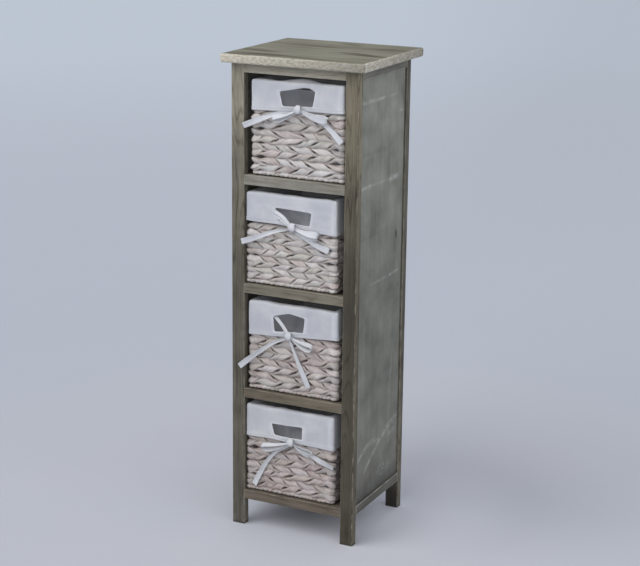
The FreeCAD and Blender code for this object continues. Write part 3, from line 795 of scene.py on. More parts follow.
def grownMesh(name, paths, tree, inputs):
    # paths are (points, closed); the tree's result comes back as a plain mesh
    curve = bpy.data.curves.new(name, "CURVE")
    curve.dimensions = "3D"
    for points, closed in paths:
        spline = curve.splines.new("POLY")
        spline.points.add(len(points) - 1)
        for point, place in zip(spline.points, points):
            point.co = (*place, 1.0)
        spline.use_cyclic_u = closed
    maker = addObject(name, curve)
    modifier = maker.modifiers.new("grow", "NODES")
    modifier.node_group = tree
    for item in tree.interface.items_tree:
        if item.in_out == "INPUT" and item.name in inputs:
            modifier[item.identifier] = inputs[item.name]
    maker.update_tag()
    bpy.context.view_layer.update()
    graph = bpy.context.evaluated_depsgraph_get()
    mesh = bpy.data.meshes.new_from_object(maker.evaluated_get(graph), preserve_all_data_layers=True, depsgraph=graph)
    bpy.data.objects.remove(maker)
    bpy.data.curves.remove(curve)
    mesh.name = name
    # what is pressed against a post lies flat on it
    reach = -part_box("front_left_post")[1].x - weaveSet["offPost"]
    for vertex in mesh.vertices:
        vertex.co.x = min(max(vertex.co.x, -reach), reach)
    return mesh


def weaveMaterial():
    material, t = newMaterial("whitewashedWeave")
    turn, strand = t.attribute("turn"), t.attribute("strand")
    out, up = t.attribute("aroundOut"), t.attribute("aroundUp")
    place = t.place()
    z = t.split(place)[2]
    front = (turn * (2 * math.pi)).alone("COSINE")
    leaf = (t.attribute("leaf") + 0.5).alone("FLOOR")
    # every leaf of a strand has its own colour
    chance = t.add("ShaderNodeTexWhiteNoise", {"noise_dimensions": "3D"},
                   {"Vector": t.join(leaf, strand, (z * 7.0).alone("FLOOR"))}, out="Color")
    pick, shade, age = t.split(chance)
    color = t.add("ShaderNodeValToRGB", {"stops": [
        (0.0, tint(210, 202, 194)), (1.0, tint(212, 206, 202)), (0.22, tint(216, 210, 205)),
        (0.40, tint(207, 194, 188)), (0.58, tint(205, 200, 189)), (0.72, tint(200, 197, 190)),
        (0.86, tint(218, 214, 211)),
    ]}, {"Fac": pick})
    grain = t.noise(t.join(out * 3.2, up * 5.5, turn * 2.2 + pick * 9.0), strand * 1.3, 3.0)
    creases = t.noise(t.join(out * 2.0, up * 8.0, turn * 0.9), strand * 2.1 + leaf, 2.0).rise(0.52, 0.62)
    color = t.times(color, t.mix(shade, (0.785, 0.775, 0.78, 1.0), (0.985, 0.985, 1.0, 1.0)))
    color = t.mix(grain.rise(0.58, 0.30) * 0.28, color, tint(146, 132, 122))
    color = t.mix(creases * 0.20, color, tint(156, 138, 128))
    stain = age.rise(0.955, 0.965) * t.cloud(place, 60.0, 8.0, 2.0).rise(0.42, 0.6)
    color = t.mix(stain * 0.5, color, tint(126, 112, 116))
    lime = t.cloud(place, 75.0, 3.0, 4.0).rise(0.48, 0.66) * front.rise(0.2, 0.9)
    color = t.mix(lime * 0.35, color, tint(224, 221, 220))
    # painted shade where a strand dives under the next and along each strand's upper and lower edges
    deep = (1.0 - front.rise(-0.60, 0.05)) * 0.38 + abs(up).rise(0.80, 1.0) * 0.16
    color = t.mix(deep, color, tint(118, 106, 100))
    # painted shade: lower baskets are a little darker and pinker, as less light reaches them
    color = t.mix(z.rise(0.62, 0.08), color, t.times(color, (0.79, 0.745, 0.745, 1.0)))
    closeMaterial(t, {
        "Base Color": color,
        "Roughness": 0.72 + grain * 0.15,
        "Specular IOR Level": 0.3,
        "Normal": t.bump(grain * 0.6 - creases * 0.7, 0.6, 0.0009),
    })
    return material


def loopAt(basket, inset, height):
    halfX = basket.halfX - inset + weaveSet["sideOut"]
    radius = max(weaveSet["leastRadius"], basket.radius - inset)
    loop = roundedLoop(halfX, basket.halfY - inset, radius, weaveSet["pathStep"])
    # half a turn round, so that the join is at the back
    return [Vector((basket.middle.x - p.x, basket.middle.y - p.y, height)) for p, out in loop]


def openLoopAt(basket, inset, height, left, right):
    # from the right side of the handle opening round to its left side
    front = basket.middle.y - basket.halfY + inset
    loop = loopAt(basket, inset, height)
    begin = min(range(len(loop)), key=lambda n: (loop[n] - Vector((basket.middle.x, front, height))).length)
    points = [Vector((basket.middle.x + right, front, height))]
    apart = weaveSet["endGap"]
    for point in loop[begin:] + loop[:begin]:
        side = point.x - basket.middle.x
        if abs(point.y - front) > weaveSet["onFront"] or side > right + apart or side < left - apart:
            points.append(point)
    points.append(Vector((basket.middle.x + left, front, height)))
    return points


def rowHeights(basket):
    # uneven rows under the handle opening, two beside it and one or two above
    dice = random.Random(basket.number)
    lower = basket.own["rows"]
    under = basket.holeBottom - weaveSet["underHole"]
    over = min(basket.holeTop + weaveSet["overHole"], basket.rim - weaveSet["overLimit"])
    start = basket.baseTop + weaveSet["overBase"]
    pitch = (under - start) / lower
    uneven = weaveSet["uneven"]
    stops = []
    for n in range(lower + 1):
        stray = dice.uniform(-uneven, uneven) * pitch if 0 < n < lower else 0
        stops.append(start + pitch * n + stray)
    stops += [(under + over) / 2, over]
    last = basket.rim - weaveSet["underRim"]
    above = 1 if last - over < weaveSet["twoRowsFrom"] else 2
    stops += [over + (last - over) * n / above for n in range(1, above + 1)]
    opened = len(stops) if basket.own["peak"][1] > weaveSet["openFrom"] else lower + 2
    return pitch, [((a + b) / 2, lower <= n < opened) for n, (a, b) in enumerate(zip(stops, stops[1:]))]


def buildWeave(basket, tree, finish):
    number = basket.number
    corners = {"middle": tuple(basket.middle), "half": (basket.halfX, basket.halfY, 0.0), "finish": finish}

    def grow(part, paths, sizes, seed, standsFor=()):
        mesh = grownMesh(f"basket{number}{part}", paths, tree, {**sizes, **corners, "seed": number * seed})
        newPiece(mesh.name, mesh, finish, basket.body, standsFor)

    shown, covered = [], []
    pitch, rows = rowHeights(basket)
    hem = [v / 1000 for v in basket.own["hem"]]
    beside = weaveSet["besideHole"]
    for height, besideHole in rows:
        above = height - basket.floor
        isCovered = above > max(hem) - weaveSet["coveredFrom"]
        inset = weaveSet["axisInset"]
        if isCovered:
            inset += weaveSet["underCuff"]
        elif above > min(hem) - weaveSet["halfCoveredFrom"]:
            inset += weaveSet["underCuff"] / 2
        if besideHole:
            points = openLoopAt(basket, inset, height, basket.holeLeft - beside, basket.holeRight + beside)
        else:
            points = loopAt(basket, inset, height)
        (covered if isCovered else shown).append((points, not besideHole))
    wall = dict(strandSet["wall"])
    for size in ("width", "lift"):
        wall[size] *= pitch / weaveSet["rowHeight"]
    grow("Weave", shown, wall, 2.3, [f"basket_{number}_wall"])
    grow("UpperWeave", covered, strandSet["covered"], 3.1)
    middle = basket.floor + weaveSet["borderHeight"]
    border = loopAt(basket, weaveSet["borderInset"], middle)
    grow("Border", [(border, True)], strandSet["border"], 4.1, [f"basket_{number}_base"])
    rows = []
    insetX, insetY = weaveSet["bottomInset"]
    wide, reach = basket.halfX - insetX, basket.halfY - insetY
    count = weaveSet["bottomRows"]
    for n in range(count):
        y = basket.middle.y - reach + 2 * reach * n / (count - 1)
        ends = (-wide, wide) if n % 2 else (wide, -wide)
        rows.append(([Vector((basket.middle.x + x, y, middle)) for x in ends], False))
    grow("Bottom", rows, strandSet["bottom"], 6.7)


strandTree = weaveTree()
weaveFinish = weaveMaterial()
for basket in baskets:
    buildWeave(basket, strandTree, weaveFinish)
print("weave grown")

# cloth liners: bag, fold over the rim, cuff and handle opening in one sheet
linerSet = {
    "cuffGap": 0.0013, "bagInset": 0.0140, "thickness": 0.00072,
    "bagRadius": 0.0042, "cuffRadius": 0.0012, "cornerHold": 0.0028, "frontFrom": -0.9,
    "frontSplit": (8, 14, 8), "sideSteps": 22, "backSteps": 18, "bendSteps": 5,
    # rows of the hem: height over its lower edge and distance in front of the gap
    "hemRows": ((0.0060, -0.0004), (0.0008, -0.0003), (0.0, 0.0006), (0.0010, 0.0015), (0.0060, 0.0014),
                (0.0070, 0.0008)),
    "hemHighlightRows": (2, 4), "seamRow": 4, "seamOff": 0.0030,
    "holeRows": 6, "holeOut": 0.0008, "cuffStep": 0.004, "cuffSpare": 0.002, "cuffTop": 0.0015, "cuffOut": 0.0006,
    # rows of the fold: height over the rim and distance out from the weave
    "rimRows": ((0.0008, 0.0006), (0.0014, -0.0012), (0.0015, -0.0045), (0.0013, -0.0085), (0.0004, -0.0112)),
    "bagRows": 26, "bagFloor": 0.0016, "bagRound": 0.004,
    "floorRings": (0.985, 0.94, 0.8, 0.6, 0.4, 0.2), "floorSwell": 0.0012, "floorMiddle": 0.001,
    # waves of the cloth: scale, place in the noise and size
    "cuffRipples": ((38, 0, 0.0010), (85, 3, 0.0005)), "hemWaves": ((24, 5, 0.0010),),
    "rimWaves": ((45, 1, 0.0014), (120, 2, 0.0008)), "rimFolds": ((60, 6, 0.0007),),
    "bagSags": ((22, 4, 0.0020),), "bagFolds": ((60, 8, 0.0012),), "looseFolds": ((80, 9, 0.005),),
    "cuffDrop": 0.05, "calmAtRim": 0.35, "cuffOff": 0.0003, "cuffLeast": -0.0005, "upright": (0.35, 0.2),
    "puffAt": 0.008, "puffWide": 0.024, "puffBehind": (0.004, 0.006), "looseWide": 0.034, "warpFade": (1.6, 1.4),
    # the opening's turned edge: distance back and scale of each row
    "turnedRows": ((0.0010, 0.985), (0.0016, 1.06)),
}


def clothMaterial(name, shaded, plain, slubs):
    material, t = newMaterial(name)
    u, v = t.split(t.add("ShaderNodeUVMap", {"uv_map": "cloth"}))[:2]
    place = t.place()
    warp, weft = ((thread * 9000.0).alone("SINE") for thread in (u, v))
    slub = t.noise(t.join(u * 900.0, v * 60.0, 0.0), 3.0, 2.0)
    soft = t.cloud(place, 24.0, 1.0, 3.0)
    crumple = t.cloud(place, 130.0, 2.0, 3.0)
    folds = t.noise(t.vector("MULTIPLY", place, (45.0, 45.0, 75.0)), 4.0, 2.0)
    color = t.mix(soft.rise(0.3, 0.7), tint(*shaded), tint(*plain))
    color = t.mix(slub.rise(0.55, 0.75) * 0.3, color, tint(*slubs))
    # less light reaches the lower baskets
    level = t.mix(t.split(place)[2].rise(0.12, 0.80), (0.90, 0.90, 0.90, 1.0), (1.05, 1.05, 1.05, 1.0))
    color = t.times(color, level)
    # painted highlight along the sewn ridges
    color = t.mix(t.attribute("sewn") * 0.6, color, tint(222, 223, 227))
    height = warp * weft * 0.10 + slub * 0.12 + crumple + soft * 0.8 + folds * 2.4
    closeMaterial(t, {
        "Base Color": color,
        "Roughness": 0.86,
        "Specular IOR Level": 0.2,
        "Sheen Weight": 0.12,
        "Normal": t.bump(height, 0.35, 0.0012),
    })
    return material


def linerRing(basket, inset, radius):
    # places and outward directions round the basket, from the front's left end
    halfX, halfY = basket.halfX - inset, basket.halfY - inset
    straightX, straightY = halfX - radius, halfY - radius
    left, mid, right = linerSet["frontSplit"]
    # the columns next to a corner lie close to it, so that it stays sharp
    hold = linerSet["cornerHold"]
    holeLeft, holeRight = basket.holeLeft, basket.holeRight
    xs = [-straightX]
    xs += [-straightX + hold + (holeLeft + straightX - hold) * n / (left - 1) for n in range(left - 1)]
    xs += [holeLeft + (holeRight - holeLeft) * n / mid for n in range(mid)]
    xs += [holeRight + (straightX - hold - holeRight) * n / (right - 1) for n in range(right)]
    ring = [(Vector((x, -halfY)), Vector((0, -1))) for x in xs]

    def bend(cornerX, cornerY, angle):
        for n in range(linerSet["bendSteps"]):
            out = bearing(angle + 90 * n / linerSet["bendSteps"])
            ring.append((Vector((cornerX, cornerY)) + out * radius, out))

    def run(start, end, out, steps):
        share = hold / (end - start).length
        for n in range(steps):
            ring.append((start.lerp(end, share + (1 - 2 * share) * (n - 1) / (steps - 2) if n else 0.0), out))

    bend(straightX, -straightY, -90)
    run(Vector((halfX, -straightY)), Vector((halfX, straightY)), Vector((1, 0)), linerSet["sideSteps"])
    bend(straightX, straightY, 0)
    run(Vector((straightX, halfY)), Vector((-straightX, halfY)), Vector((0, 1)), linerSet["backSteps"])
    bend(-straightX, straightY, 90)
    run(Vector((-halfX, straightY)), Vector((-halfX, -straightY)), Vector((-1, 0)), linerSet["sideSteps"])
    bend(-straightX, -straightY, 180)
    return ring


def linerColumns(basket):
    # each column: place on the weave's face, place on the bag, outward direction
    outer = linerRing(basket, 0.0, linerSet["cuffRadius"])
    inner = linerRing(basket, linerSet["bagInset"], linerSet["bagRadius"])
    return [(a[0], b[0], a[1]) for a, b in zip(outer, inner)]


def wave(place, scale, seed):
    return noise.noise(place * scale + Vector((seed, seed * 0.7, 0)))


class LinerShape:
    # where the cloth lies for a column, a distance out from the weave and a height
    def __init__(self, basket):
        self.basket = basket
        self.seed = basket.number * 7.3

    def waves(self, place, kind):
        return sum(size * wave(place, scale, self.seed + shift) for scale, shift, size in linerSet[kind])

    def at(self, column, out, height, kind):
        basket = self.basket
        outer, inner, away = column
        flat = outer.lerp(inner, max(0.0, -out) / linerSet["bagInset"]) + away * max(0.0, out)
        spot = Vector((flat.x, flat.y, height))
        rimLift = basket.own["rimLift"] / 1000
        inFront = away.y < linerSet["frontFrom"]
        push = lift = 0.0
        if kind == "cuff":
            drop = clamp((basket.rim - height) / linerSet["cuffDrop"])
            calm = linerSet["calmAtRim"]
            push = self.waves(spot, "cuffRipples") * (calm + (1 - calm) * drop)
            push = max(linerSet["cuffLeast"], push + linerSet["cuffOff"])
            lift = self.waves(Vector((flat.x, flat.y, 0)), "hemWaves") * drop + rimLift * (1 - drop)
        elif kind == "rim":
            lift = self.waves(spot, "rimWaves") + rimLift
            push = self.waves(spot, "rimFolds")
            if inFront:
                behind, reach = linerSet["puffBehind"]
                puff = math.exp(-((flat.x - linerSet["puffAt"]) / linerSet["puffWide"]) ** 2)
                lift += basket.own["puff"] / 1000 * puff * clamp(-(out + behind) / reach)
        elif kind == "bag":
            bagUpright, looseUpright = linerSet["upright"]
            folds = self.waves(Vector((flat.x, flat.y, height * bagUpright)), "bagFolds")
            push = min(0.0, self.waves(spot, "bagSags") + folds)
            if inFront:
                # the bag hangs loose behind the handle opening, in upright folds
                middle, wide = (basket.holeLeft + basket.holeRight) / 2, linerSet["looseWide"]
                near = math.exp(-((flat.x - middle) / wide) ** 2 - ((height - basket.holeBottom) / wide) ** 2)
                folds = self.waves(Vector((flat.x, 0, height * looseUpright)), "looseFolds")
                push -= near * (basket.own["sink"] / 1000 + folds)
        flat += away * push
        return Vector((basket.middle.x + flat.x, basket.middle.y + flat.y, height + lift))

    def warpHole(self, place):
        # pull the opening's corners to where the tie draws them
        basket = self.basket
        s = (place.x - basket.middle.x - basket.holeLeft) / (basket.holeRight - basket.holeLeft)
        r = (basket.holeTop - place.z) / (basket.holeTop - basket.holeBottom)
        sIn, rIn = clamp(s), clamp(r)
        fadeX, fadeZ = linerSet["warpFade"]
        fade = max(0.0, 1 - math.hypot((s - sIn) * fadeX, (r - rIn) * fadeZ)) ** 2
        topLeft, topRight, bottomRight, bottomLeft = basket.own["warp"]
        moves = []
        for axis in (0, 1):
            upper = topLeft[axis] * (1 - sIn) + topRight[axis] * sIn
            under = bottomLeft[axis] * (1 - sIn) + bottomRight[axis] * sIn
            moves.append((upper * (1 - rIn) + under * rIn) / 1000 * fade)
        spot, rise = basket.own["peak"]
        slope = sIn / spot if sIn < spot else (1 - sIn) / (1 - spot)
        moves[1] += rise / 1000 * slope * (1 - rIn) * fade
        return place + Vector((moves[0], 0, moves[1]))


def linerRows(basket):
    # each row: kind, height (for the hem the height over its lower edge) and how far out it lies
    gap, rim, bottom, top = linerSet["cuffGap"], basket.rim, basket.holeBottom, basket.holeTop
    rows = [("hem", rise, gap + out) for rise, out in linerSet["hemRows"]]
    count = linerSet["holeRows"]
    rows += [("cuff", bottom + (top - bottom) * n / count, gap + linerSet["holeOut"]) for n in range(count + 1)]
    count = max(2, round((rim - top - linerSet["cuffSpare"]) / linerSet["cuffStep"]))
    over = rim - linerSet["cuffTop"] - top
    rows += [("cuff", top + over * n / count, gap + linerSet["cuffOut"]) for n in range(1, count + 1)]
    rows += [("rim", rim + rise, out) for rise, out in linerSet["rimRows"]]
    count = linerSet["bagRows"]
    deep = basket.baseTop + linerSet["bagFloor"] + linerSet["bagRound"] - rim
    return rows + [("bag", rim + deep * n / (count - 1), -linerSet["bagInset"]) for n in range(1, count)]


def linerPoints(basket, rows, columns):
    shape = LinerShape(basket)
    points = []
    for kind, level, out in rows:
        isHem = kind == "hem"
        for column in columns:
            height = basket.hemAt(column[0].x) if isHem else level
            place = shape.at(column, out, height, "cuff" if isHem else kind)
            if isHem:
                place.z += level
            if kind in ("hem", "cuff") and column[2].y < linerSet["frontFrom"]:
                place = shape.warpHole(place)
            points.append(place)
    ring = points[-len(columns):]
    bagFloor = basket.baseTop + linerSet["bagFloor"]
    for scale in linerSet["floorRings"]:
        for place in ring:
            flat = basket.middle + (Vector((place.x, place.y, 0)) - basket.middle) * scale
            swell = linerSet["floorSwell"] * (1 + wave(flat, 40, basket.number))
            points.append(Vector((flat.x, flat.y, bagFloor + swell)))
    points.append(Vector((basket.middle.x, basket.middle.y, bagFloor + linerSet["floorMiddle"])))
    return points


def threadCloth(mesh, points, columns, total):
    # thread direction: distance round the basket and distance over the cloth
    count = len(columns)
    around, over = [0.0], [0.0]
    for c in range(count):
        around.append(around[-1] + (columns[c][0] - columns[(c + 1) % count][0]).length)
    for r in range(1, total):
        over.append(over[-1] + (points[r * count] - points[(r - 1) * count]).length)
    edit = bmesh.new()
    edit.from_mesh(mesh)
    layer = edit.loops.layers.uv.new("cloth")
    for face in edit.faces:
        wraps = any(v.index % count == count - 1 for v in face.verts)
        for corner in face.loops:
            n = corner.vert.index
            if n < total * count:
                r, c = divmod(n, count)
                corner[layer].uv = (around[count] if wraps and c == 0 else around[c], over[r])
            else:
                corner[layer].uv = (corner.vert.co.x, corner.vert.co.y + corner.vert.co.z)
    bmesh.ops.recalc_face_normals(edit, faces=edit.faces)
    cuffFace = min(edit.faces, key=lambda f: f.calc_center_median().y)
    if cuffFace.normal.y > 0:
        bmesh.ops.reverse_faces(edit, faces=edit.faces)
    edit.to_mesh(mesh)
    edit.free()


def buildLiner(basket, finish):
    number = basket.number
    columns, rows = linerColumns(basket), linerRows(basket)
    points = linerPoints(basket, rows, columns)
    count = len(columns)
    total = len(points) // count
    tip = len(points) - 1
    # the handle opening lies between these columns and rows
    left = linerSet["frontSplit"][0]
    right = left + linerSet["frontSplit"][1]
    low = len(linerSet["hemRows"])
    high = low + linerSet["holeRows"]
    faces = []
    for r in range(total - 1):
        for c in range(count):
            if not (left <= c < right and low <= r < high):
                d = (c + 1) % count
                faces.append((r * count + c, r * count + d, (r + 1) * count + d, (r + 1) * count + c))
    for c in range(count):
        faces.append(((total - 1) * count + c, (total - 1) * count + (c + 1) % count, tip))
    # its edge is turned under
    loop = [(low, c) for c in range(left, right)] + [(r, right) for r in range(low, high)]
    loop += [(high, c) for c in range(right, left, -1)] + [(r, left) for r in range(high, low, -1)]
    edge = [r * count + c for r, c in loop]
    centre = sum((points[n] for n in edge), Vector()) / len(edge)
    previous = edge
    for back, spread in linerSet["turnedRows"]:
        turned = []
        for n in edge:
            away = points[n] - centre
            turned.append(len(points))
            points.append(centre + Vector((away.x * spread, away.y + back, away.z * spread)))
        for n in range(len(turned)):
            m = (n + 1) % len(turned)
            faces.append((previous[n], turned[n], turned[m], previous[m]))
        previous = turned
    mesh = meshFrom(f"basket{number}Liner", points, faces)
    threadCloth(mesh, points, columns, total)
    # painted highlight where it is sewn: lighter over the hem, round the opening and beside the right corner, where the
    # sewn ridges catch the light
    corner = sum(linerSet["frontSplit"]) - 1
    cuffEnd = sum(row[0] in ("hem", "cuff") for row in rows) - 1
    hemStart, hemEnd = linerSet["hemHighlightRows"]
    sewn = mesh.attributes.new("sewn", "FLOAT", "POINT")
    for strength, places in ((1.0, edge), (0.6, [r * count + corner for r in range(cuffEnd)]),
                             (0.4, range(hemStart * count, hemEnd * count))):
        for n in places:
            sewn.data[n].value = strength
    piece = newPiece(mesh.name, mesh, finish, basket.body, [f"basket_{number}_liner"])
    makeCloth(piece, linerSet["thickness"], -1.0)
    seamRow, off = linerSet["seamRow"], linerSet["seamOff"]
    rounded = [centre + (points[n] - centre) * (1 + off / (points[n] - centre).length) for n in edge]
    upright = [points[r * count + corner] for r in range(seamRow, cuffEnd)]
    return piece, [(points[seamRow * count:(seamRow + 1) * count], True), (rounded, True), (upright, False)]


cloth = clothMaterial("cottonCloth", (184, 185, 191), (201, 201, 203), (176, 177, 184))
seamPaths = {}
for basket in baskets:
    piece, seamPaths[basket.number] = buildLiner(basket, cloth)
print("liners laid")

# rows of stitches, half sunk in the cloth
stitchSet = {"length": 0.0027, "spacing": 0.0037, "radius": 0.00048}


def stitchTree():
    t, given = openGroup("stitchRows", {
        "Geometry": ["Seams"], "Float": stitchSet, "Material": ["finish"],
    }, "Stitches")
    seams = t.add("GeometryNodeResampleCurve", {"mode": "LENGTH"},
                  {"Curve": given["Seams"], "Length": given["spacing"]})
    stitch = t.add("GeometryNodeMeshUVSphere", None, {"Segments": 6, "Rings": 4, "Radius": 1.0})
    turned = t.add("FunctionNodeAlignRotationToVector", {"axis": "Z"}, {"Vector": t.add("GeometryNodeInputTangent")})
    stitches = t.add("GeometryNodeInstanceOnPoints", None, {
        "Points": seams, "Instance": stitch, "Rotation": turned,
        "Scale": t.join(given["radius"], given["radius"], given["length"] * 0.5),
    })
    return closeGroup(t, stitches, given["finish"])


thread = plainFinish("cottonThread", (176, 176, 180), (204, 203, 204), 1200.0, 0.7, 0.0)
sewing = stitchTree()
for basket in baskets:
    sizes = {**stitchSet, "finish": thread}
    mesh = grownMesh(f"basket{basket.number}Stitches", seamPaths[basket.number], sewing, sizes)
    newPiece(mesh.name, mesh, thread, basket.body)
print("stitches sewn")

# ribbon bows: millimetres across from the basket's middle, up from its floor and out in front of the cuff;
# a loop is its reach across and up, lean in degrees, gap, distance out and share of the width
bowSet = {
    "width": 0.0104, "thickness": 0.0005, "plane": -0.1095, "cells": 4,
    # shares of the width at the knot and gained along a tail or a loop
    "narrow": 0.36, "tailGain": 0.62, "loopGain": 0.64, "pinch": 0.3, "pinchOver": 0.35,
    "tailStep": 0.0030, "tailStart": (0.3, 0.6), "tailEnd": (-0.25, 0.25), "tailSwing": 0.25,
    "tailWidens": (0.06, 0.80, 1.1), "tailCurl": 0.0005, "knotCurl": 0.0013,
    "strapStep": 0.0025, "strapWidth": 0.0056, "strapLean": 0.5, "strapCurl": 0.0010,
    "loopSteps": 26, "loopCurl": 0.0006, "loopSpread": 1.6, "loopDroop": 0.003,
    # the knot's two wraps: tilt, half height, half depth and width
    "wraps": ((0.75, 0.0052, 0.0036, 0.0085), (-0.15, 0.0068, 0.0042, 0.0116)),
    "wrapSteps": 20, "wrapOut": 0.0006, "wrapCurl": -0.0005,
    "core": (0.0045, 0.0028, 0.0050), "coreRings": 6, "coreSides": 10,
    1: {"knot": (5.4, 119.0), "straps": [],
        "tails": [[(-1.2, 116.0, 0), (-27.2, 111.5, 0.5), (-55.2, 101.5, 0.5), (-77.2, 92.5, 1.2), (-97.2, 84.0, 1.6)],
                  [(8.8, 114.0, -1.0), (28.8, 109.0, -3.0), (46.8, 101.0, -3.0), (64.8, 87.5, -3.5),
                   (83.3, 69.0, -4.5)]],
        "loops": [(-46, -20, -36, 7, 1.0, 0.75), (53, -14, 8, 6, 0, 1.15)]},
    2: {"knot": (6.7, 109.0),
        "straps": [[(-33, 133.5, -6.5), (-24.8, 130.0, -4.6), (-12.1, 123.4, -3), (1, 112.0, 0)],
                   [(-35, 127.0, -6.5), (-22.2, 122.8, -4.6), (-11, 116.5, -3), (1, 110.0, 0)]],
        "tails": [[(0.1, 104.8, 0), (-27.9, 98.0, 0), (-51.9, 88.5, 0), (-72.9, 80.0, 0.8), (-90.9, 74.0, 1.5)],
                  [(10.1, 101.0, -2.5), (30.1, 90.0, -4.0), (53.1, 80.5, -4.5), (72.1, 74.5, -5.0)]],
        "loops": [(48, -11, -26, 10, 1.5, 1.1)]},
    3: {"knot": (-3.9, 107.4), "straps": [[(-36.5, 138.0, -9), (-20, 124.8, -4.6), (-6, 111.0, 0)]],
        "tails": [[(-8.5, 103.0, 0), (-35, 90.5, -1.0), (-61, 72.0, -1.0), (-81, 56.0, 0.8), (-100, 39.5, 1.5)],
                  [(-2.5, 100.5, 0), (5, 80.0, -2.0), (16, 52.0, -4.0), (32, 17.5, -5.0)]],
        "loops": [(45, -16, -48, 10.5, 2.5, 0.75)]},
    4: {"knot": (6.0, 105.0), "straps": [],
        "tails": [[(-0.9, 97.5, 0), (-25.4, 80.5, -2.5), (-43.4, 60.0, -4.0), (-58.4, 34.0, -5.0), (-69.4, 11.0, -5.5)],
                  [(11.1, 100.0, -2.0), (41.1, 87.5, -3.5), (65.1, 77.0, -4.0), (86.1, 69.5, -4.5)]],
        "loops": [(-56, -17, -46, 9.5, 2.5, 0.80), (40, -15, 26, 8, 1.0, 0.8)]},
}


def heading(path, n):
    return (path[min(n + 1, len(path) - 1)] - path[max(n - 1, 0)]).normalized()


class Ribbons:
    # collects strips of ribbon into one mesh
    def __init__(self):
        self.points, self.faces, self.uvs, self.length = [], [], [], 0.0

    def strip(self, path, widths, across, curls, closed=False):
        # across gives the width direction at each place
        rings = []
        cells = bowSet["cells"]
        run = 0.0
        for n, place in enumerate(path):
            if n:
                run += (place - path[n - 1]).length
            ahead = heading(path, n)
            wide = across[n] - ahead * across[n].dot(ahead)
            wide.normalize()
            face = ahead.cross(wide)
            ring = []
            for c in range(cells + 1):
                s = c / cells * 2 - 1
                ring.append(len(self.points))
                self.points.append(place + wide * (widths[n] * s / 2) + face * (curls[n] * (1 - s * s)))
                self.uvs.append((s * bowSet["width"] / 2, run))
            rings.append(ring)
        for a, b in zip(rings, rings[1:] + (rings[:1] if closed else [])):
            for c in range(cells):
                self.faces.append((a[c], b[c], b[c + 1], a[c + 1]))
        self.length += run


def smoothPath(points, step):
    # a curve through a few places, sampled evenly
    ends = [points[0] * 2 - points[1]] + points + [points[-1] * 2 - points[-2]]
    path = []
    for n in range(1, len(ends) - 2):
        a, b, c, d = ends[n - 1:n + 3]
        count = max(2, round((c - b).length / step))
        for k in range(count):
            s = k / count
            bent = (2 * a - 5 * b + 4 * c - d) * s * s + (3 * b - a - 3 * c + d) * s ** 3
            path.append(0.5 * (2 * b + (c - a) * s + bent))
    path.append(points[-1])
    return path


toFront = Vector((0, -1, 0))


def leaning(level, lean):
    return level * math.cos(lean) + toFront * math.sin(lean)


def tieTail(ribbons, path, number, dice):
    widths, across, curls = [], [], []
    start, end = dice.uniform(*bowSet["tailStart"]), dice.uniform(*bowSet["tailEnd"])
    begin, over, power = bowSet["tailWidens"]
    for n in range(len(path)):
        s = n / (len(path) - 1)
        lean = start * (1 - s) ** 2 + end * s + bowSet["tailSwing"] * math.sin(s * 7 + number)
        across.append(leaning(heading(path, n).cross(toFront), lean))
        gain = bowSet["tailGain"] * clamp((s - begin) / over) ** power
        widths.append(bowSet["width"] * (bowSet["narrow"] + gain))
        curls.append(bowSet["knotCurl"] * (1 - s) + bowSet["tailCurl"])
    ribbons.strip(path, widths, across, curls)


def tieStrap(ribbons, path):
    count = len(path)
    across = [leaning(heading(path, n).cross(toFront), bowSet["strapLean"]) for n in range(count)]
    ribbons.strip(path, [bowSet["strapWidth"]] * count, across, [bowSet["strapCurl"]] * count)


def tieLoop(ribbons, knot, reachX, reachZ, lean, gap, out, band):
    ahead = Vector((reachX, 0, reachZ))
    length = ahead.length / 1000
    ahead.normalize()
    level = ahead.cross(toFront)
    if level.z < 0:
        level = -level
    lean = math.radians(lean)
    # the two bands of a loop lie more one above the other than the ribbon leans
    spread = lean * bowSet["loopSpread"]
    apart = toFront * math.cos(spread) - level * math.sin(spread)
    path, widths = [], []
    steps = bowSet["loopSteps"]
    for n in range(2 * steps + 1):
        s = n / steps - 1
        reach = 1 - abs(s) ** 2.2
        parted = gap / 2000 * math.sin(math.pi * s) * (1.0 - 0.25 * abs(s)) * 1.25
        droop = Vector((0, 0, -bowSet["loopDroop"] * math.sin(math.pi * reach)))
        path.append(knot + ahead * (length * reach) + apart * parted + toFront * (out / 1000 * reach) + droop)
        share = bowSet["narrow"] + bowSet["loopGain"] * min(1.0, (1 - abs(s)) * 2.2)
        pinch = 1 - bowSet["pinch"] * max(0.0, 1 - abs(s) / bowSet["pinchOver"])
        widths.append(bowSet["width"] * band * share * pinch)
    ribbons.strip(path, widths, [leaning(level, lean)] * len(path), [bowSet["loopCurl"]] * len(path))


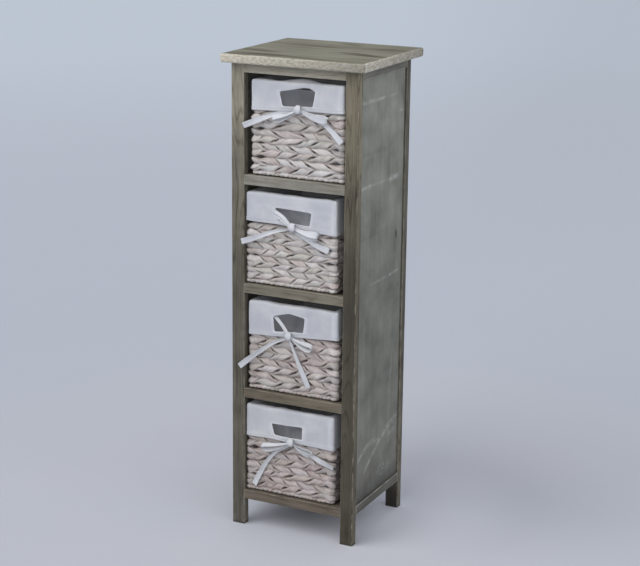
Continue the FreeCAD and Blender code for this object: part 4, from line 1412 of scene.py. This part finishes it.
def tieKnot(ribbons, knot):
    # one wrap upright over another that slants, round a core
    steps = bowSet["wrapSteps"]
    for tilt, high, deep, wide in bowSet["wraps"]:
        side = Vector((math.cos(tilt), 0, math.sin(tilt)))
        upright = Vector((-math.sin(tilt), 0, math.cos(tilt)))
        turns = [2 * math.pi * n / steps for n in range(steps)]
        path = [knot + upright * (high * math.sin(turn)) + toFront * (deep * math.cos(turn) + bowSet["wrapOut"])
                for turn in turns]
        widths = [wide * (0.60 + 0.40 * math.cos(turn) ** 2) for turn in turns]
        ribbons.strip(path, widths, [side] * steps, [bowSet["wrapCurl"]] * steps, True)
    first = len(ribbons.points)
    rings, sides = bowSet["coreRings"], bowSet["coreSides"]
    halfX, halfY, halfZ = bowSet["core"]
    for r in range(1, rings):
        for c in range(sides):
            v, h = math.pi * r / rings, 2 * math.pi * c / sides
            flat = Vector((halfX * math.sin(v) * math.cos(h), halfY * math.sin(v) * math.sin(h), halfZ * math.cos(v)))
            ribbons.points.append(knot + flat)
            ribbons.uvs.append((0.001 * c, 0.001 * r))
    for r in range(rings - 2):
        for c in range(sides):
            a, b = first + r * sides + c, first + r * sides + (c + 1) % sides
            ribbons.faces.append((a, a + sides, b + sides, b))


def buildBow(basket, finish):
    number = basket.number
    own = bowSet[number]
    dice = random.Random(number * 11)

    def at(x, z, out=0.0):
        return Vector((basket.middle.x + x / 1000, bowSet["plane"] - out / 1000, basket.floor + z / 1000))

    ribbons = Ribbons()
    knotX, knotZ = own["knot"]
    knot = at(knotX, knotZ)
    for points in own["tails"]:
        path = smoothPath([at(knotX, knotZ - 2)] + [at(*p) for p in points], bowSet["tailStep"])
        tieTail(ribbons, path, number, dice)
    for points in own["straps"]:
        tieStrap(ribbons, smoothPath([at(*p) for p in points], bowSet["strapStep"]))
    for loop in own["loops"]:
        tieLoop(ribbons, knot, *loop)
    tieKnot(ribbons, knot)
    mesh = meshFrom(f"basket{number}Bow", ribbons.points, ribbons.faces)
    layer = mesh.uv_layers.new(name="cloth")
    for corner in mesh.loops:
        layer.data[corner.index].uv = ribbons.uvs[corner.vertex_index]
    piece = newPiece(mesh.name, mesh, finish, basket.body, [f"basket_{number}_bow"])
    makeCloth(piece, bowSet["thickness"], 0.0)
    return piece, ribbons.length


ribbonCloth = clothMaterial("ribbonCotton", (198, 198, 201), (210, 210, 212), (190, 190, 194))
for basket in baskets:
    piece, length = buildBow(basket, ribbonCloth)
print("bows tied")
